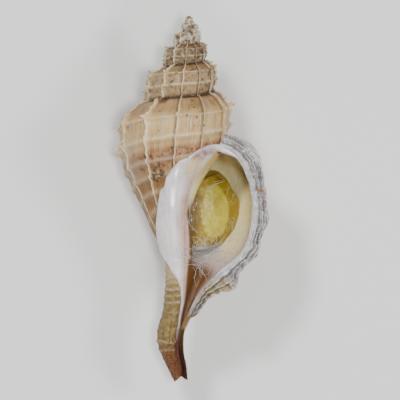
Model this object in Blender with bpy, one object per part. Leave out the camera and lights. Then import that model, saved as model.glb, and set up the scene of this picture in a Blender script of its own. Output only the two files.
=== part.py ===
"""A trophon sea shell, 40 mm long, lying on its back with its operculum set on a plug of cotton wool.

The shell is one grown solid. Its surface is lofted from half-plane sections of the whorl, which turn
about a slightly bent axis and grow by a fixed ratio each turn. Lamellae and spiral cords are raised on
that surface, and the aperture is pushed into its end as a hollow that follows the whorl back.
"""

import math

import bmesh
import bpy
import numpy as np
from mathutils import Matrix, Vector

# Driving dimensions, in metres and degrees. Angles about the axis run with growth: 0 is the shell's
# right side, 90 its front, where the aperture opens, and the last turn ends at the lip.
MM = 0.001
TURN_GROWTH = 1.65
TURNS = 5
APEX_BLUNTNESS = 0.5
APEX_DOWN = 0.15 * MM
WALL = 0.42 * MM
CANAL_WALL = 0.25 * MM
# The section points between which the wall thins, and how much thicker it is at the hollow's top.
WALL_THINS = (12, 15)
TOP_WALL_SHARE = 1.6
SUTURE_END = 30
# Cords and lamellae stop growing at this angle of the last turn.
RELIEF_GROWTH_END = -60
SHARP_ANGLE = 35
# The turns that set the shell down on the crests of two lamellae at its back, the aperture up.
ROLL = -3.78
PITCH = 2.76

# Whorl section of the spire at full size, as (radius, distance below the apex) in millimetres, from
# the upper suture down to the lower one.
SPIRE_SECTION = ((4.98, 13.21), (6.20, 13.76), (7.29, 14.69), (8.00, 15.67),
                 (8.27, 16.54), (8.38, 18.06), (8.38, 19.91), (8.22, 21.79))
LOWER_SUTURE = 7
# The last turn at its angles: the whorl's side, its base and the siphonal canal, in millimetres.
BODY_SECTIONS = {
    -360: ((3.02, 8.00), (3.76, 8.34), (4.42, 8.90), (4.85, 9.50), (5.01, 10.02), (5.08, 10.94),
           (5.08, 12.06), (4.98, 13.21), (4.35, 14.69), (3.37, 15.99), (2.30, 17.73), (1.52, 20.24),
           (1.28, 22.30), (1.41, 24.48), (1.25, 26.87), (0.98, 29.16), (0.76, 31.55), (0.60, 34.16),
           (0.44, 36.77), (0.30, 39.30)),
    -315: ((3.22, 8.53), (4.00, 8.89), (4.70, 9.49), (5.16, 10.12), (5.34, 10.68), (5.41, 11.66),
           (5.41, 12.86), (5.31, 14.07), (4.75, 15.60), (3.95, 16.90), (3.05, 18.50), (2.20, 20.60),
           (1.75, 22.50), (1.60, 24.60), (1.38, 26.87), (1.10, 29.25), (0.85, 31.65), (0.68, 34.20),
           (0.50, 36.80), (0.36, 39.40)),
    -270: ((3.43, 9.07), (4.25, 9.45), (5.00, 10.09), (5.49, 10.76), (5.67, 11.36), (5.74, 12.40),
           (5.70, 13.67), (5.50, 14.96), (5.00, 16.32), (4.35, 17.63), (3.59, 19.15), (2.83, 20.89),
           (2.28, 22.74), (1.85, 24.70), (1.58, 26.87), (1.47, 29.38), (1.41, 31.77), (1.36, 34.27),
           (1.00, 36.88), (0.55, 39.60)),
    -180: ((3.88, 10.28), (4.83, 10.71), (5.58, 11.48), (6.02, 12.25), (6.16, 12.92), (6.18, 14.06),
           (5.98, 15.50), (5.48, 16.97), (4.83, 18.28), (4.10, 19.58), (3.33, 21.10), (2.56, 22.96),
           (1.85, 24.70), (1.40, 26.11), (1.20, 28.07), (1.22, 30.68), (1.30, 33.29), (1.45, 35.58),
           (1.09, 37.75), (0.62, 40.05)),
    -90: ((4.39, 11.65), (5.47, 12.13), (6.43, 12.96), (7.05, 13.82), (7.25, 14.59), (7.30, 15.93),
          (7.10, 17.57), (6.75, 19.22), (6.09, 20.67), (5.33, 21.98), (4.35, 23.50), (3.37, 25.02),
          (2.50, 26.55), (1.85, 28.07), (1.52, 29.59), (1.41, 31.66), (1.41, 33.84), (1.41, 35.90),
          (1.09, 37.80), (0.62, 39.45)),
    0: ((5.11, 13.30), (6.60, 14.30), (7.85, 15.50), (8.70, 16.80), (9.00, 18.10), (9.15, 19.60),
        (9.05, 21.30), (8.70, 23.10), (8.00, 24.75), (7.00, 26.10), (5.75, 27.30), (4.50, 28.40),
        (3.40, 29.50), (2.55, 30.60), (2.05, 31.85), (1.66, 33.20), (1.32, 34.70), (1.16, 36.40),
        (0.98, 38.30), (0.62, 39.80)),
}
# The turn's last section, at the lip, and the angle that each of its points lies at.
LIP_SECTION = ((5.40, 13.95), (6.85, 14.30), (7.97, 15.50), (8.60, 16.80), (9.00, 18.00), (9.27, 19.50),
               (9.30, 21.20), (9.05, 23.00), (8.60, 24.70), (7.87, 26.10), (6.60, 27.30), (5.48, 28.20),
               (4.45, 29.20), (3.57, 30.10), (2.92, 31.20), (2.40, 32.40), (1.68, 33.90), (1.45, 36.00),
               (1.20, 38.20), (0.82, 39.75))
LIP_ANGLE = (30, 26, 22, 20, 18, 17, 17, 17, 18, 20, 22, 25, 28, 31, 34, 36, 37, 38, 38, 38)
LIP_SHEAR_RUN = 60
# How far the outer lip leans out as a flange at each point, over the last degrees of the turn.
FLANGE_REACH = (1.00, 1.85, 2.00, 1.45, 1.10, 1.00, 1.15, 1.35, 0.75, 1.20, 1.00, 2.30, 2.15, 0.90, 0.90,
                0.60, 0.10, 0.05, 0.05, 0.05)
FLANGE_RUN = 16.0
FLANGE_CURVE = 2.2
FLANGE_SCALLOP = 0.22 * MM
SCALLOP_STEP = 1.55
# The scallops are full between the middle two of these points, and gone at the outer two.
SCALLOP_POINTS = (0, 2, 13, 17)

# The inner lip: a raised white shield beside the aperture. Its free left edge, as (distance below the
# apex, distance right of the shell's middle), and the width over which it rises.
SHIELD_EDGE = ((14.4, 4.6), (15.0, 2.9), (15.67, 1.41), (16.97, -0.33), (18.7, -1.2), (20.2, -1.74),
               (22.4, -1.96), (25.1, -1.63), (27.1, -0.76), (28.9, 0.33), (31.1, 0.45), (35.5, 0.20))
SHIELD_THICK = 0.40 * MM
SHIELD_RISE = 0.35 * MM
SHIELD_END = -215

# The axis leans and bends: (distance below the apex, shift right, shift back, lean in degrees).
AXIS = ((0.0, 1.64, 0.0, 6.4), (5.0, 1.32, 0.0, 6.4), (12.4, 0.50, 0.0, 6.4), (16.5, 0.12, 0.0, 5.5),
        (20.2, -0.10, 0.0, 3.0), (23.5, 0.00, 0.0, 1.0), (27.0, 0.20, 0.0, 0.0), (29.6, 0.20, 0.0, 0.0),
        (33.0, -0.10, 0.05, 0.0), (35.4, -0.42, 0.2, 0.0), (36.8, -0.30, 0.3, 0.0), (38.3, 0.12, 0.45, 0.0),
        (40.1, 0.62, 0.6, 0.0))

# Crests of the lamellae in one turn, as (degrees before the lip, size). The lip itself is the last one.
LAMELLAE = ((-328, 0.95), (-298, 0.9), (-266, 1.05), (-232, 0.9), (-199, 0.9), (-165, 1.0), (-132, 1.05),
            (-100, 1.0), (-69, 1.05), (-38, 0.9), (0, 1.0))
LAMELLA_RISE = 9.0
LAMELLA_DROP = 2.6
# Height of a lamella at full size, as (point of the section, millimetres). It shrinks up the spire by
# this power of the whorl's size.
LAMELLA_HEIGHT = ((0.0, 0.22), (1.0, 0.50), (2.4, 0.58), (4.0, 0.68), (4.9, 0.40), (5.8, 0.62),
                  (6.6, 0.38), (7.4, 0.52), (8.1, 0.30), (8.7, 0.36), (9.6, 0.26), (11.0, 0.28),
                  (13.0, 0.20), (19.0, 0.10))
LAMELLA_SHRINK = 0.45
CORDS = ((4.0, 0.22), (5.8, 0.24), (7.4, 0.20), (8.7, 0.18), (9.8, 0.15))
CORD_WIDTH = 0.28

# Rows of the mesh, as points of the section. The spire's rows end at the lower suture.
SPIRE_ROWS = (0.0, 1.0, 2.2, 3.2, 4.0, 4.6, 5.2, 5.8, 6.4, 7.0)
BASE_ROWS = (7.4, 8.0, 8.7, 9.3, 9.8, 10.6, 11.4, 12.2, 13.0, 14.0, 15.0, 16.0, 17.0, 18.0, 19.0)
ROWS = SPIRE_ROWS + BASE_ROWS

# The hollow, as degrees behind the lip: its rings, and where its tail in the canal ends.
RINGS = (0, 4, 9, 15, 22, 30, 40, 52, 70, 92, 118, 145, 172, 198, 220, 235)
TAIL_END = 62
TAIL_CURVE = 1.3
CHAMBER_FLOOR = 10.9
CHAMBER_TOP = 0.9
COLUMELLA_START = 7.35

# The operculum: a domed oval plate in the half-plane this many degrees behind the right side.
OPERCULUM_ANGLE = -25
OPERCULUM_CENTRE = (4.75, 21.1)
OPERCULUM_HALF = (2.75, 4.2)
OPERCULUM_TILT = 11
OPERCULUM_SKEW = 0.08
OPERCULUM_THICK = 0.35 * MM
OPERCULUM_EDGE_THINNING = 0.6
OPERCULUM_DOME = 0.45 * MM
OPERCULUM_SIDES = 32
OPERCULUM_RINGS = 5
# The cotton plug behind it, between these angles, its gap to the walls, and the size of its two ends.
COTTON_FRONT = -33
COTTON_BACK = -120
COTTON_RINGS = 7
COTTON_INNER_COUNT = 6
COTTON_GAP = 0.66 * MM
COTTON_END_SHARE = 0.75

MATERIALS = {
    "shell": ((0.74, 0.66, 0.52), 0.45),
    "operculum": ((0.66, 0.56, 0.20), 0.30),
    "cotton_wool": ((0.90, 0.89, 0.86), 0.90),
}


def smooth_read(keys, values, at):
    """The smooth curve through values at increasing keys, read at one place."""
    at = min(max(at, keys[0]), keys[-1])
    i = min(max(int(np.searchsorted(keys, at, side="right")) - 1, 0), len(keys) - 2)
    before, after = max(i - 1, 0), min(i + 2, len(keys) - 1)
    step = keys[i + 1] - keys[i]
    t = (at - keys[i]) / step
    values = np.asarray(values, float)
    slope_in = (values[i + 1] - values[before]) / (keys[i + 1] - keys[before]) * step
    slope_out = (values[after] - values[i]) / (keys[after] - keys[i]) * step
    leaving = (2 * t**3 - 3 * t**2 + 1) * values[i] + (t**3 - 2 * t**2 + t) * slope_in
    return leaving + (3 * t**2 - 2 * t**3) * values[i + 1] + (t**3 - t**2) * slope_out


def clamp(value, low=0.0, high=1.0):
    return min(max(value, low), high)


def growth(angle):
    """Size of the whorl at an angle, 1 at the shell's right side in the last turn."""
    return TURN_GROWTH ** (angle / 360)


ANGLES = sorted(BODY_SECTIONS)
OUTLINES = [np.array(BODY_SECTIONS[angle]) / growth(angle) for angle in ANGLES]
OUTLINES.append(np.array(LIP_SECTION) / growth(np.array(LIP_ANGLE))[:, None])
POINTS = list(range(len(LIP_SECTION)))
SPIRE_POINTS = POINTS[: LOWER_SUTURE + 1]


def section(angle, point):
    """(radius, distance below the apex) in metres of the plain whorl at an angle and section point."""
    if angle <= ANGLES[0] and point <= LOWER_SUTURE:
        return smooth_read(SPIRE_POINTS, SPIRE_SECTION, point) * growth(angle) * MM
    lip = float(smooth_read(POINTS, LIP_ANGLE, point))
    outline = smooth_read([*ANGLES, lip], OUTLINES, angle)
    return smooth_read(POINTS, outline, point) * growth(min(angle, lip)) * MM


def outward(angle, point):
    """Unit normal of the section in its half-plane, pointing out of the whorl."""
    last = POINTS[-1] if angle > ANGLES[0] else LOWER_SUTURE
    along = section(angle, min(point + 0.2, last)) - section(angle, max(point - 0.2, 0))
    along /= np.linalg.norm(along)
    return np.array([along[1], -along[0]])


def place(angle, radius, down):
    """The point in the shell's own frame: the apex up +Y, the aperture to +Z."""
    depths = [a[0] for a in AXIS]
    right, back, lean = smooth_read(depths, [a[1:] for a in AXIS], down / MM)
    turn, tilt = math.radians(angle), math.radians(lean)
    across = radius * math.cos(turn)
    return Vector((right * MM + across * math.cos(tilt), -down - across * math.sin(tilt),
                   radius * math.sin(turn) - back * MM))


def lamella_lift(before_lip, point):
    """A lamella rises slowly in the direction of growth and drops off at its front."""
    lift = 0.0
    for crest, size in LAMELLAE:
        past = (before_lip - crest + 180) % 360 - 180
        if -LAMELLA_RISE < past <= 0:
            lift = size * (1 + past / LAMELLA_RISE) ** 2
        elif 0 < past < LAMELLA_DROP:
            lift = size * (1 - past / LAMELLA_DROP)
    heights = [h[1] for h in LAMELLA_HEIGHT]
    return lift * float(np.interp(point, [h[0] for h in LAMELLA_HEIGHT], heights))


def cord_lift(point):
    return sum(height * math.exp(-(((point - at) / CORD_WIDTH) ** 2)) for at, height in CORDS)


def flange_lift(before_lip, point):
    """How far the outer lip leans out close to the end of the last turn."""
    near = clamp(1 + before_lip / FLANGE_RUN) ** FLANGE_CURVE
    share = float(np.interp(point, SCALLOP_POINTS, (0, 1, 1, 0)))
    scallop = FLANGE_SCALLOP * share * math.cos(2 * math.pi * point / SCALLOP_STEP)
    return near * (smooth_read(POINTS, FLANGE_REACH, point) * MM + scallop)


def true_angle(before_lip, point):
    """Angle about the axis. The last columns are sheared, so that they follow the lip's edge."""
    shear = smooth_read(POINTS, LIP_ANGLE, point) - SUTURE_END
    return before_lip + SUTURE_END + shear * clamp(1 + before_lip / LIP_SHEAR_RUN)


def shield_lift(before_lip, spot):
    """The inner lip stands proud of the front of the last turn, right of its free edge."""
    if not -360 <= before_lip < SHIELD_END:
        return 0.0
    edge = np.interp(-spot.y / MM, [e[0] for e in SHIELD_EDGE], [e[1] for e in SHIELD_EDGE]) * MM
    inside = clamp((spot.x - edge) / SHIELD_RISE)
    return SHIELD_THICK * inside**2 * (3 - 2 * inside)


def outside(before_lip, point):
    """A point of the shell's finished outside."""
    angle = true_angle(before_lip, point)
    radius, down = section(angle, point)
    normal = outward(angle, point)
    shield = shield_lift(before_lip, place(angle, radius, down)) if point > LOWER_SUTURE else 0.0
    size = growth(min(angle, RELIEF_GROWTH_END))
    lift = MM * cord_lift(point) * size
    if before_lip < -FLANGE_RUN:
        lift += MM * lamella_lift(before_lip, point) * size**LAMELLA_SHRINK
    else:
        lift += flange_lift(before_lip, point)
    lift = shield + lift * (1 - shield / SHIELD_THICK)
    return place(angle, radius + normal[0] * lift, down + normal[1] * lift)


def column_angles():
    """Columns of one turn, ending at the lip: close beside each crest, wider between."""
    columns, previous = [], -360
    for crest, _ in LAMELLAE:
        start, end = previous + LAMELLA_DROP, crest - LAMELLA_RISE
        columns += [start, (start + end) / 2, end, (2 * end + 3 * crest) / 5, crest]
        previous = crest
    return columns


def wall(point):
    return float(np.interp(point, WALL_THINS, (WALL, CANAL_WALL)))


def hollow_ring(back, outer_rows, inner_count):
    """The hollow's outer and inner side, back degrees behind the lip, as (angle, radius, down)."""
    tail = clamp(1 - back / TAIL_END) ** TAIL_CURVE
    floor = CHAMBER_FLOOR + (POINTS[-1] - CHAMBER_FLOOR) * tail
    outer = []
    for row in outer_rows:
        point = CHAMBER_TOP + (floor - CHAMBER_TOP) * row / outer_rows[-1]
        angle = true_angle(-back, point)
        inset = wall(point) * (TOP_WALL_SHARE if row == 0 else 1.0)
        at = section(angle, point) - outward(angle, point) * inset
        outer.append((angle, at[0], at[1]))
    bottom = outer[-1]
    inner_angle = bottom[0] - 360
    downs = [section(inner_angle, p)[1] for p in POINTS[LOWER_SUTURE + 1:]]
    end = float(np.interp(bottom[2], downs, POINTS[LOWER_SUTURE + 1:]))
    inner = []
    for i in range(1, inner_count + 1):
        point = end + (COLUMELLA_START - end) * i / (inner_count + 1)
        at = section(inner_angle, point)
        inner.append((bottom[0], at[0], at[1]))
    return outer, inner


def build_shell():
    turn = column_angles()
    columns = [a + 360 * t for t in range(1 - TURNS, 1) for a in turn]
    body_start = len(columns) - len(turn) - 1
    suture, last = len(SPIRE_ROWS) - 1, len(ROWS) - 1
    mesh = bmesh.new()
    apex = mesh.verts.new(place(0, 0, APEX_DOWN))
    grid = []
    for i, before_lip in enumerate(columns):
        strip = []
        for j in range((last if i >= body_start else suture) + 1):
            if j == 0 and i >= len(turn):
                strip.append(grid[i - len(turn)][suture])
            elif j == 0 or i == 0:
                strip.append(apex)
            else:
                swell = math.sin(math.pi / 2 * clamp(i / len(turn))) ** APEX_BLUNTNESS
                strip.append(mesh.verts.new(apex.co.lerp(outside(before_lip, ROWS[j]), swell)))
        grid.append(strip)
    for left, right in zip(grid, grid[1:]):
        for j in range(min(len(left), len(right)) - 1):
            add_face(mesh, (left[j], left[j + 1], right[j + 1], right[j]))
    open_aperture(mesh, grid[body_start], grid[-1], [strip[last] for strip in grid[body_start:]])
    return finish_solid(mesh, "shell")


def open_aperture(mesh, columella, lip, canal_end):
    """Pushes the hollow in between the lip's edge and the columella, and closes the canal's end round it."""
    suture, last = len(SPIRE_ROWS) - 1, len(ROWS) - 1
    inner_count = last - suture - 2
    notch = mesh.verts.new(place(*hollow_ring(0, ROWS, inner_count)[0][-1]))
    previous = None
    for back in RINGS:
        outer, inner = hollow_ring(back, ROWS, inner_count)
        if previous is None:
            middle = [mesh.verts.new(place(*at)) for at in outer[1:-1]]
            ring = [columella[suture + 1], *middle, notch, *reversed(columella[suture + 2: last])]
            for j in range(last):
                add_face(mesh, (lip[j], lip[j + 1], ring[j + 1], ring[j]))
        else:
            ring = [mesh.verts.new(place(*at)) for at in outer + inner]
            for j, vert in enumerate(ring):
                add_face(mesh, (previous[j - 1], previous[j], vert, ring[j - 1]))
        previous = ring
    mesh.faces.new(previous)
    add_face(mesh, (columella[last - 1], columella[last], notch))
    mesh.faces.new([*canal_end, notch])


def add_face(mesh, corners):
    kept = [v for k, v in enumerate(corners) if v is not corners[k - 1]]
    if len(kept) > 2:
        mesh.faces.new(kept)


def finish_solid(mesh, name):
    """Triangulates, turns the faces out, and gives the piece its material."""
    bmesh.ops.triangulate(mesh, faces=mesh.faces)
    bmesh.ops.recalc_face_normals(mesh, faces=mesh.faces)
    if mesh.calc_volume(signed=True) < 0:
        bmesh.ops.reverse_faces(mesh, faces=mesh.faces)
    data = bpy.data.meshes.new(name)
    mesh.to_mesh(data)
    mesh.free()
    data.shade_smooth()
    data.set_sharp_from_angle(angle=math.radians(SHARP_ANGLE))
    colour, roughness = MATERIALS[name]
    material = bpy.data.materials.new(name)
    material.use_nodes = True
    shader = material.node_tree.nodes["Principled BSDF"]
    shader.inputs["Base Color"].default_value = (*colour, 1)
    shader.inputs["Roughness"].default_value = roughness
    data.materials.append(material)
    solid = bpy.data.objects.new(name, data)
    bpy.context.scene.collection.objects.link(solid)
    return solid


def build_operculum():
    """An oval plate, domed towards the mouth, in rings from its middle to its edge."""
    mesh = bmesh.new()
    sides = OPERCULUM_SIDES
    tilt = math.radians(OPERCULUM_TILT)
    faces = []
    for side in (1, -1):
        rows = []
        for ring in range(OPERCULUM_RINGS + 1):
            share = ring / OPERCULUM_RINGS
            row = []
            for k in range(sides if ring else 1):
                turn = 2 * math.pi * k / sides
                x = OPERCULUM_HALF[0] * share * math.cos(turn) * (1 + OPERCULUM_SKEW * math.sin(turn))
                y = OPERCULUM_HALF[1] * share * math.sin(turn)
                radius = OPERCULUM_CENTRE[0] + x * math.cos(tilt) - y * math.sin(tilt)
                down = OPERCULUM_CENTRE[1] + x * math.sin(tilt) + y * math.cos(tilt)
                half = OPERCULUM_THICK / 2 * (1 - OPERCULUM_EDGE_THINNING * share**6)
                rise = OPERCULUM_DOME * (1 - share**2) + side * half
                row.append(mesh.verts.new(off_plane(OPERCULUM_ANGLE, radius * MM, down * MM, rise)))
            rows.append(row)
        faces.append(rows)
        for inner, outer in zip(rows, rows[1:]):
            for k in range(sides):
                add_face(mesh, (inner[k % len(inner)], inner[(k + 1) % len(inner)],
                                outer[(k + 1) % sides], outer[k]))
    front, back = faces[0][-1], faces[1][-1]
    for k in range(sides):
        add_face(mesh, (front[k - 1], front[k], back[k], back[k - 1]))
    return finish_solid(mesh, "operculum")


def off_plane(angle, radius, down, rise):
    """A point of the half-plane at an angle, lifted off it in the direction of growth."""
    turn = math.radians(angle)
    return place(angle, radius, down) + Vector((-math.sin(turn), 0, math.cos(turn))) * rise


def build_cotton():
    """A soft plug that fills the whorl behind the operculum, clear of its walls."""
    mesh = bmesh.new()
    previous = None
    for angle in np.linspace(COTTON_FRONT, COTTON_BACK, COTTON_RINGS):
        outer, inner = hollow_ring(SUTURE_END - angle, ROWS[::2], COTTON_INNER_COUNT)
        outline = np.array([(p[1], p[2]) for p in outer + inner])
        middle = outline.mean(axis=0)
        spread = np.linalg.norm(outline - middle, axis=1)[:, None]
        ends = COTTON_END_SHARE if angle in (COTTON_FRONT, COTTON_BACK) else 1.0
        outline = middle + (outline - middle) * ends * (1 - COTTON_GAP / spread)
        ring = [mesh.verts.new(place(angle, *point)) for point in outline]
        if previous:
            for k in range(len(ring)):
                add_face(mesh, (previous[k - 1], previous[k], ring[k], ring[k - 1]))
        else:
            mesh.faces.new(ring)
        previous = ring
    mesh.faces.new(previous)
    return finish_solid(mesh, "cotton_wool")


def lay_down(pieces):
    """Lays the shell on its back and centres it over the origin, standing on the ground plane."""
    turn = Matrix.Rotation(math.radians(ROLL), 4, "Y") @ Matrix.Rotation(math.radians(PITCH), 4, "X")
    for piece in pieces:
        piece.data.transform(turn)
    corners = np.array([v.co for piece in pieces for v in piece.data.vertices])
    low, high = corners.min(axis=0), corners.max(axis=0)
    shift = Matrix.Translation((-(low[0] + high[0]) / 2, -(low[1] + high[1]) / 2, -low[2]))
    for piece in pieces:
        piece.data.transform(shift)


def main():
    for item in list(bpy.data.objects):
        bpy.data.objects.remove(item)
    lay_down([build_shell(), build_operculum(), build_cotton()])


main()
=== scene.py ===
# A trophon shell on its back. Its surfaces are wound from half-plane sections, as the animal grew them.
# The shell's own frame is in millimetres: the apex up +Y, the mouth to +Z. Angles run with growth.

import math
import random
from functools import partial

import bpy
import numpy as np
from mathutils import Matrix, Vector
from mathutils.bvhtree import BVHTree


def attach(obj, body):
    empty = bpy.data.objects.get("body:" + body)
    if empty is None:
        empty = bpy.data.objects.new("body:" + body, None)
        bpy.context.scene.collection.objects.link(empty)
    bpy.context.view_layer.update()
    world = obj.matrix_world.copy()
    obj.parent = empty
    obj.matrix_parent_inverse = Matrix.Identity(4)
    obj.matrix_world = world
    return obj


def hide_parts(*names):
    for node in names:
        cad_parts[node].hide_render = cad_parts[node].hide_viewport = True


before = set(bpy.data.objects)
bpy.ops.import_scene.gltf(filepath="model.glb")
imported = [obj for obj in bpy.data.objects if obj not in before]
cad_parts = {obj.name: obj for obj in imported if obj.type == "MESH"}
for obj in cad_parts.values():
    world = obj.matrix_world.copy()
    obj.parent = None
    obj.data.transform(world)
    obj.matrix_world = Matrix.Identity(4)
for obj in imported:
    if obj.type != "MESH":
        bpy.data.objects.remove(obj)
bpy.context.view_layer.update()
print("frame loaded")

whorl = {
    "turnGrowth": 1.65,
    "turns": 5,
    "apexDown": 0.15,
    "apexBluntness": 0.5,
    "wall": 0.42,
    "canalWall": 0.25,
    "sutureEnd": 30,
    "roll": -3.78,
    "pitch": 2.76,
}

# (radius, distance below the apex) of the whorl's side in the spire, from suture to suture
spireSection = ((4.98, 13.21), (6.20, 13.76), (7.29, 14.69), (8.00, 15.67),
                (8.27, 16.54), (8.38, 18.06), (8.38, 19.91), (8.22, 21.79))
lowerSuture = 7

# the last turn at its angles: side, base and canal
bodySections = {
    -360: ((3.02, 8.00), (3.76, 8.34), (4.42, 8.90), (4.85, 9.50), (5.01, 10.02), (5.08, 10.94),
           (5.08, 12.06), (4.98, 13.21), (4.35, 14.69), (3.37, 15.99), (2.30, 17.73), (1.52, 20.24),
           (1.28, 22.30), (1.41, 24.48), (1.25, 26.87), (0.98, 29.16), (0.76, 31.55), (0.60, 34.16),
           (0.44, 36.77), (0.30, 39.30)),
    -315: ((3.22, 8.53), (4.00, 8.89), (4.70, 9.49), (5.16, 10.12), (5.34, 10.68), (5.41, 11.66),
           (5.41, 12.86), (5.31, 14.07), (4.75, 15.60), (3.95, 16.90), (3.05, 18.50), (2.20, 20.60),
           (1.75, 22.50), (1.60, 24.60), (1.38, 26.87), (1.10, 29.25), (0.85, 31.65), (0.68, 34.20),
           (0.50, 36.80), (0.36, 39.40)),
    -270: ((3.43, 9.07), (4.25, 9.45), (5.00, 10.09), (5.49, 10.76), (5.67, 11.36), (5.74, 12.40),
           (5.70, 13.67), (5.50, 14.96), (5.00, 16.32), (4.35, 17.63), (3.59, 19.15), (2.83, 20.89),
           (2.28, 22.74), (1.85, 24.70), (1.58, 26.87), (1.47, 29.38), (1.41, 31.77), (1.36, 34.27),
           (1.00, 36.88), (0.55, 39.60)),
    -180: ((3.88, 10.28), (4.83, 10.71), (5.58, 11.48), (6.02, 12.25), (6.16, 12.92), (6.18, 14.06),
           (5.98, 15.50), (5.48, 16.97), (4.83, 18.28), (4.10, 19.58), (3.33, 21.10), (2.56, 22.96),
           (1.85, 24.70), (1.40, 26.11), (1.20, 28.07), (1.22, 30.68), (1.30, 33.29), (1.45, 35.58),
           (1.09, 37.75), (0.62, 40.05)),
    -90: ((4.39, 11.65), (5.47, 12.13), (6.43, 12.96), (7.05, 13.82), (7.25, 14.59), (7.30, 15.93),
          (7.10, 17.57), (6.75, 19.22), (6.09, 20.67), (5.33, 21.98), (4.35, 23.50), (3.37, 25.02),
          (2.50, 26.55), (1.85, 28.07), (1.52, 29.59), (1.41, 31.66), (1.41, 33.84), (1.41, 35.90),
          (1.09, 37.80), (0.62, 39.45)),
    0: ((5.11, 13.30), (6.60, 14.30), (7.85, 15.50), (8.70, 16.80), (9.00, 18.10), (9.15, 19.60),
        (9.05, 21.30), (8.70, 23.10), (8.00, 24.75), (7.00, 26.10), (5.75, 27.30), (4.50, 28.40),
        (3.40, 29.50), (2.55, 30.60), (2.05, 31.85), (1.66, 33.20), (1.32, 34.70), (1.16, 36.40),
        (0.98, 38.30), (0.62, 39.80)),
}
lipSection = ((5.40, 13.95), (6.85, 14.30), (7.97, 15.50), (8.60, 16.80), (9.00, 18.00), (9.27, 19.50),
              (9.30, 21.20), (9.05, 23.00), (8.60, 24.70), (7.87, 26.10), (6.60, 27.30), (5.48, 28.20),
              (4.45, 29.20), (3.57, 30.10), (2.92, 31.20), (2.40, 32.40), (1.68, 33.90), (1.45, 36.00),
              (1.20, 38.20), (0.82, 39.75))
lipAngle = (30, 26, 22, 20, 18, 17, 17, 17, 18, 20, 22, 25, 28, 31, 34, 36, 37, 38, 38, 38)

# the axis leans and bends: (distance below the apex, right, back, lean in degrees)
axisBend = ((0.0, 1.64, 0.0, 6.4), (5.0, 1.32, 0.0, 6.4), (12.4, 0.50, 0.0, 6.4), (16.5, 0.12, 0.0, 5.5),
            (20.2, -0.10, 0.0, 3.0), (23.5, 0.00, 0.0, 1.0), (27.0, 0.20, 0.0, 0.0), (29.6, 0.20, 0.0, 0.0),
            (33.0, -0.10, 0.05, 0.0), (35.4, -0.42, 0.2, 0.0), (36.8, -0.30, 0.3, 0.0), (38.3, 0.12, 0.45, 0.0),
            (40.1, 0.62, 0.6, 0.0))


def curveWeights(keys, at):
    # how much of each key's value a smooth curve takes at each place
    at = np.asarray(at, float)
    keys = np.broadcast_to(np.asarray(keys, float), at.shape + (np.shape(keys)[-1],))
    count = keys.shape[-1]
    at = np.clip(at, keys[..., 0], keys[..., -1])
    index = np.clip((keys[..., 1:-1] <= at[..., None]).sum(-1), 0, count - 2)
    before, following, after = np.maximum(index - 1, 0), index + 1, np.minimum(index + 2, count - 1)

    def keyAt(which):
        return np.take_along_axis(keys, which[..., None], -1)[..., 0]

    step = keyAt(following) - keyAt(index)
    t = (at - keyAt(index)) / step
    slopeIn = (t**3 - 2 * t**2 + t) * step / (keyAt(following) - keyAt(before))
    slopeOut = (t**3 - t**2) * step / (keyAt(after) - keyAt(index))
    shares = ((index, 2 * t**3 - 3 * t**2 + 1 - slopeOut), (following, 3 * t**2 - 2 * t**3 + slopeIn),
              (before, -slopeIn), (after, slopeOut))
    slots = np.arange(count)
    return sum((slots == which[..., None]) * share[..., None] for which, share in shares)


def smoothRead(keys, values, at):
    return curveWeights(keys, at) @ np.asarray(values, float)


def growth(angle):
    return whorl["turnGrowth"] ** (np.asarray(angle, float) / 360)


def clamp(value, low=0.0, high=1.0):
    return np.clip(value, low, high)


def smoothStep(low, high, value):
    t = clamp((value - low) / (high - low))
    return t * t * (3 - 2 * t)


def hump(value, middle, width):
    return np.exp(-(((value - middle) / width) ** 2))


def wrapped(angle):
    return (angle + 180) % 360 - 180


sectionAngles = sorted(bodySections)
points = np.arange(len(lipSection))
outlines = np.array([np.array(bodySections[a]) / growth(a) for a in sectionAngles]
                    + [np.array(lipSection) / growth(np.array(lipAngle))[:, None]])


def section(angle, point):
    # (radius, down) of the plain whorl, for arrays of angles and section points
    angle, point = np.broadcast_arrays(np.asarray(angle, float), np.asarray(point, float))
    lip = smoothRead(points, lipAngle, point)
    keys = np.concatenate([np.broadcast_to(sectionAngles, point.shape + (len(sectionAngles),)), lip[..., None]], -1)
    alongTurn = curveWeights(keys, angle)
    alongSection = curveWeights(points, point)
    outline = np.einsum("...a,...p,apc->...c", alongTurn, alongSection, outlines, optimize=True)
    spire = smoothRead(points[: lowerSuture + 1], spireSection, np.minimum(point, lowerSuture))
    inSpire = ((angle <= sectionAngles[0]) & (point <= lowerSuture))[..., None]
    return np.where(inSpire, spire, outline) * growth(np.minimum(angle, lip))[..., None]


def outward(angle, point):
    angle, point = np.broadcast_arrays(np.asarray(angle, float), np.asarray(point, float))
    last = np.where(angle > sectionAngles[0], points[-1], np.where(point <= lowerSuture, lowerSuture, points[-1]))
    along = section(angle, np.minimum(point + 0.2, last)) - section(angle, np.maximum(point - 0.2, 0))
    along /= np.linalg.norm(along, axis=-1, keepdims=True)
    return np.stack([along[..., 1], -along[..., 0]], -1)


def place(angle, radius, down):
    # from the half-plane at an angle to the shell's own frame
    angle, radius, down = np.broadcast_arrays(*(np.asarray(a, float) for a in (angle, radius, down)))
    bend = smoothRead([a[0] for a in axisBend], [a[1:] for a in axisBend], down)
    turn, lean = np.radians(angle), np.radians(bend[..., 2])
    across = radius * np.cos(turn)
    return np.stack([bend[..., 0] + across * np.cos(lean), -down - across * np.sin(lean),
                     radius * np.sin(turn) - bend[..., 1]], -1)


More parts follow.
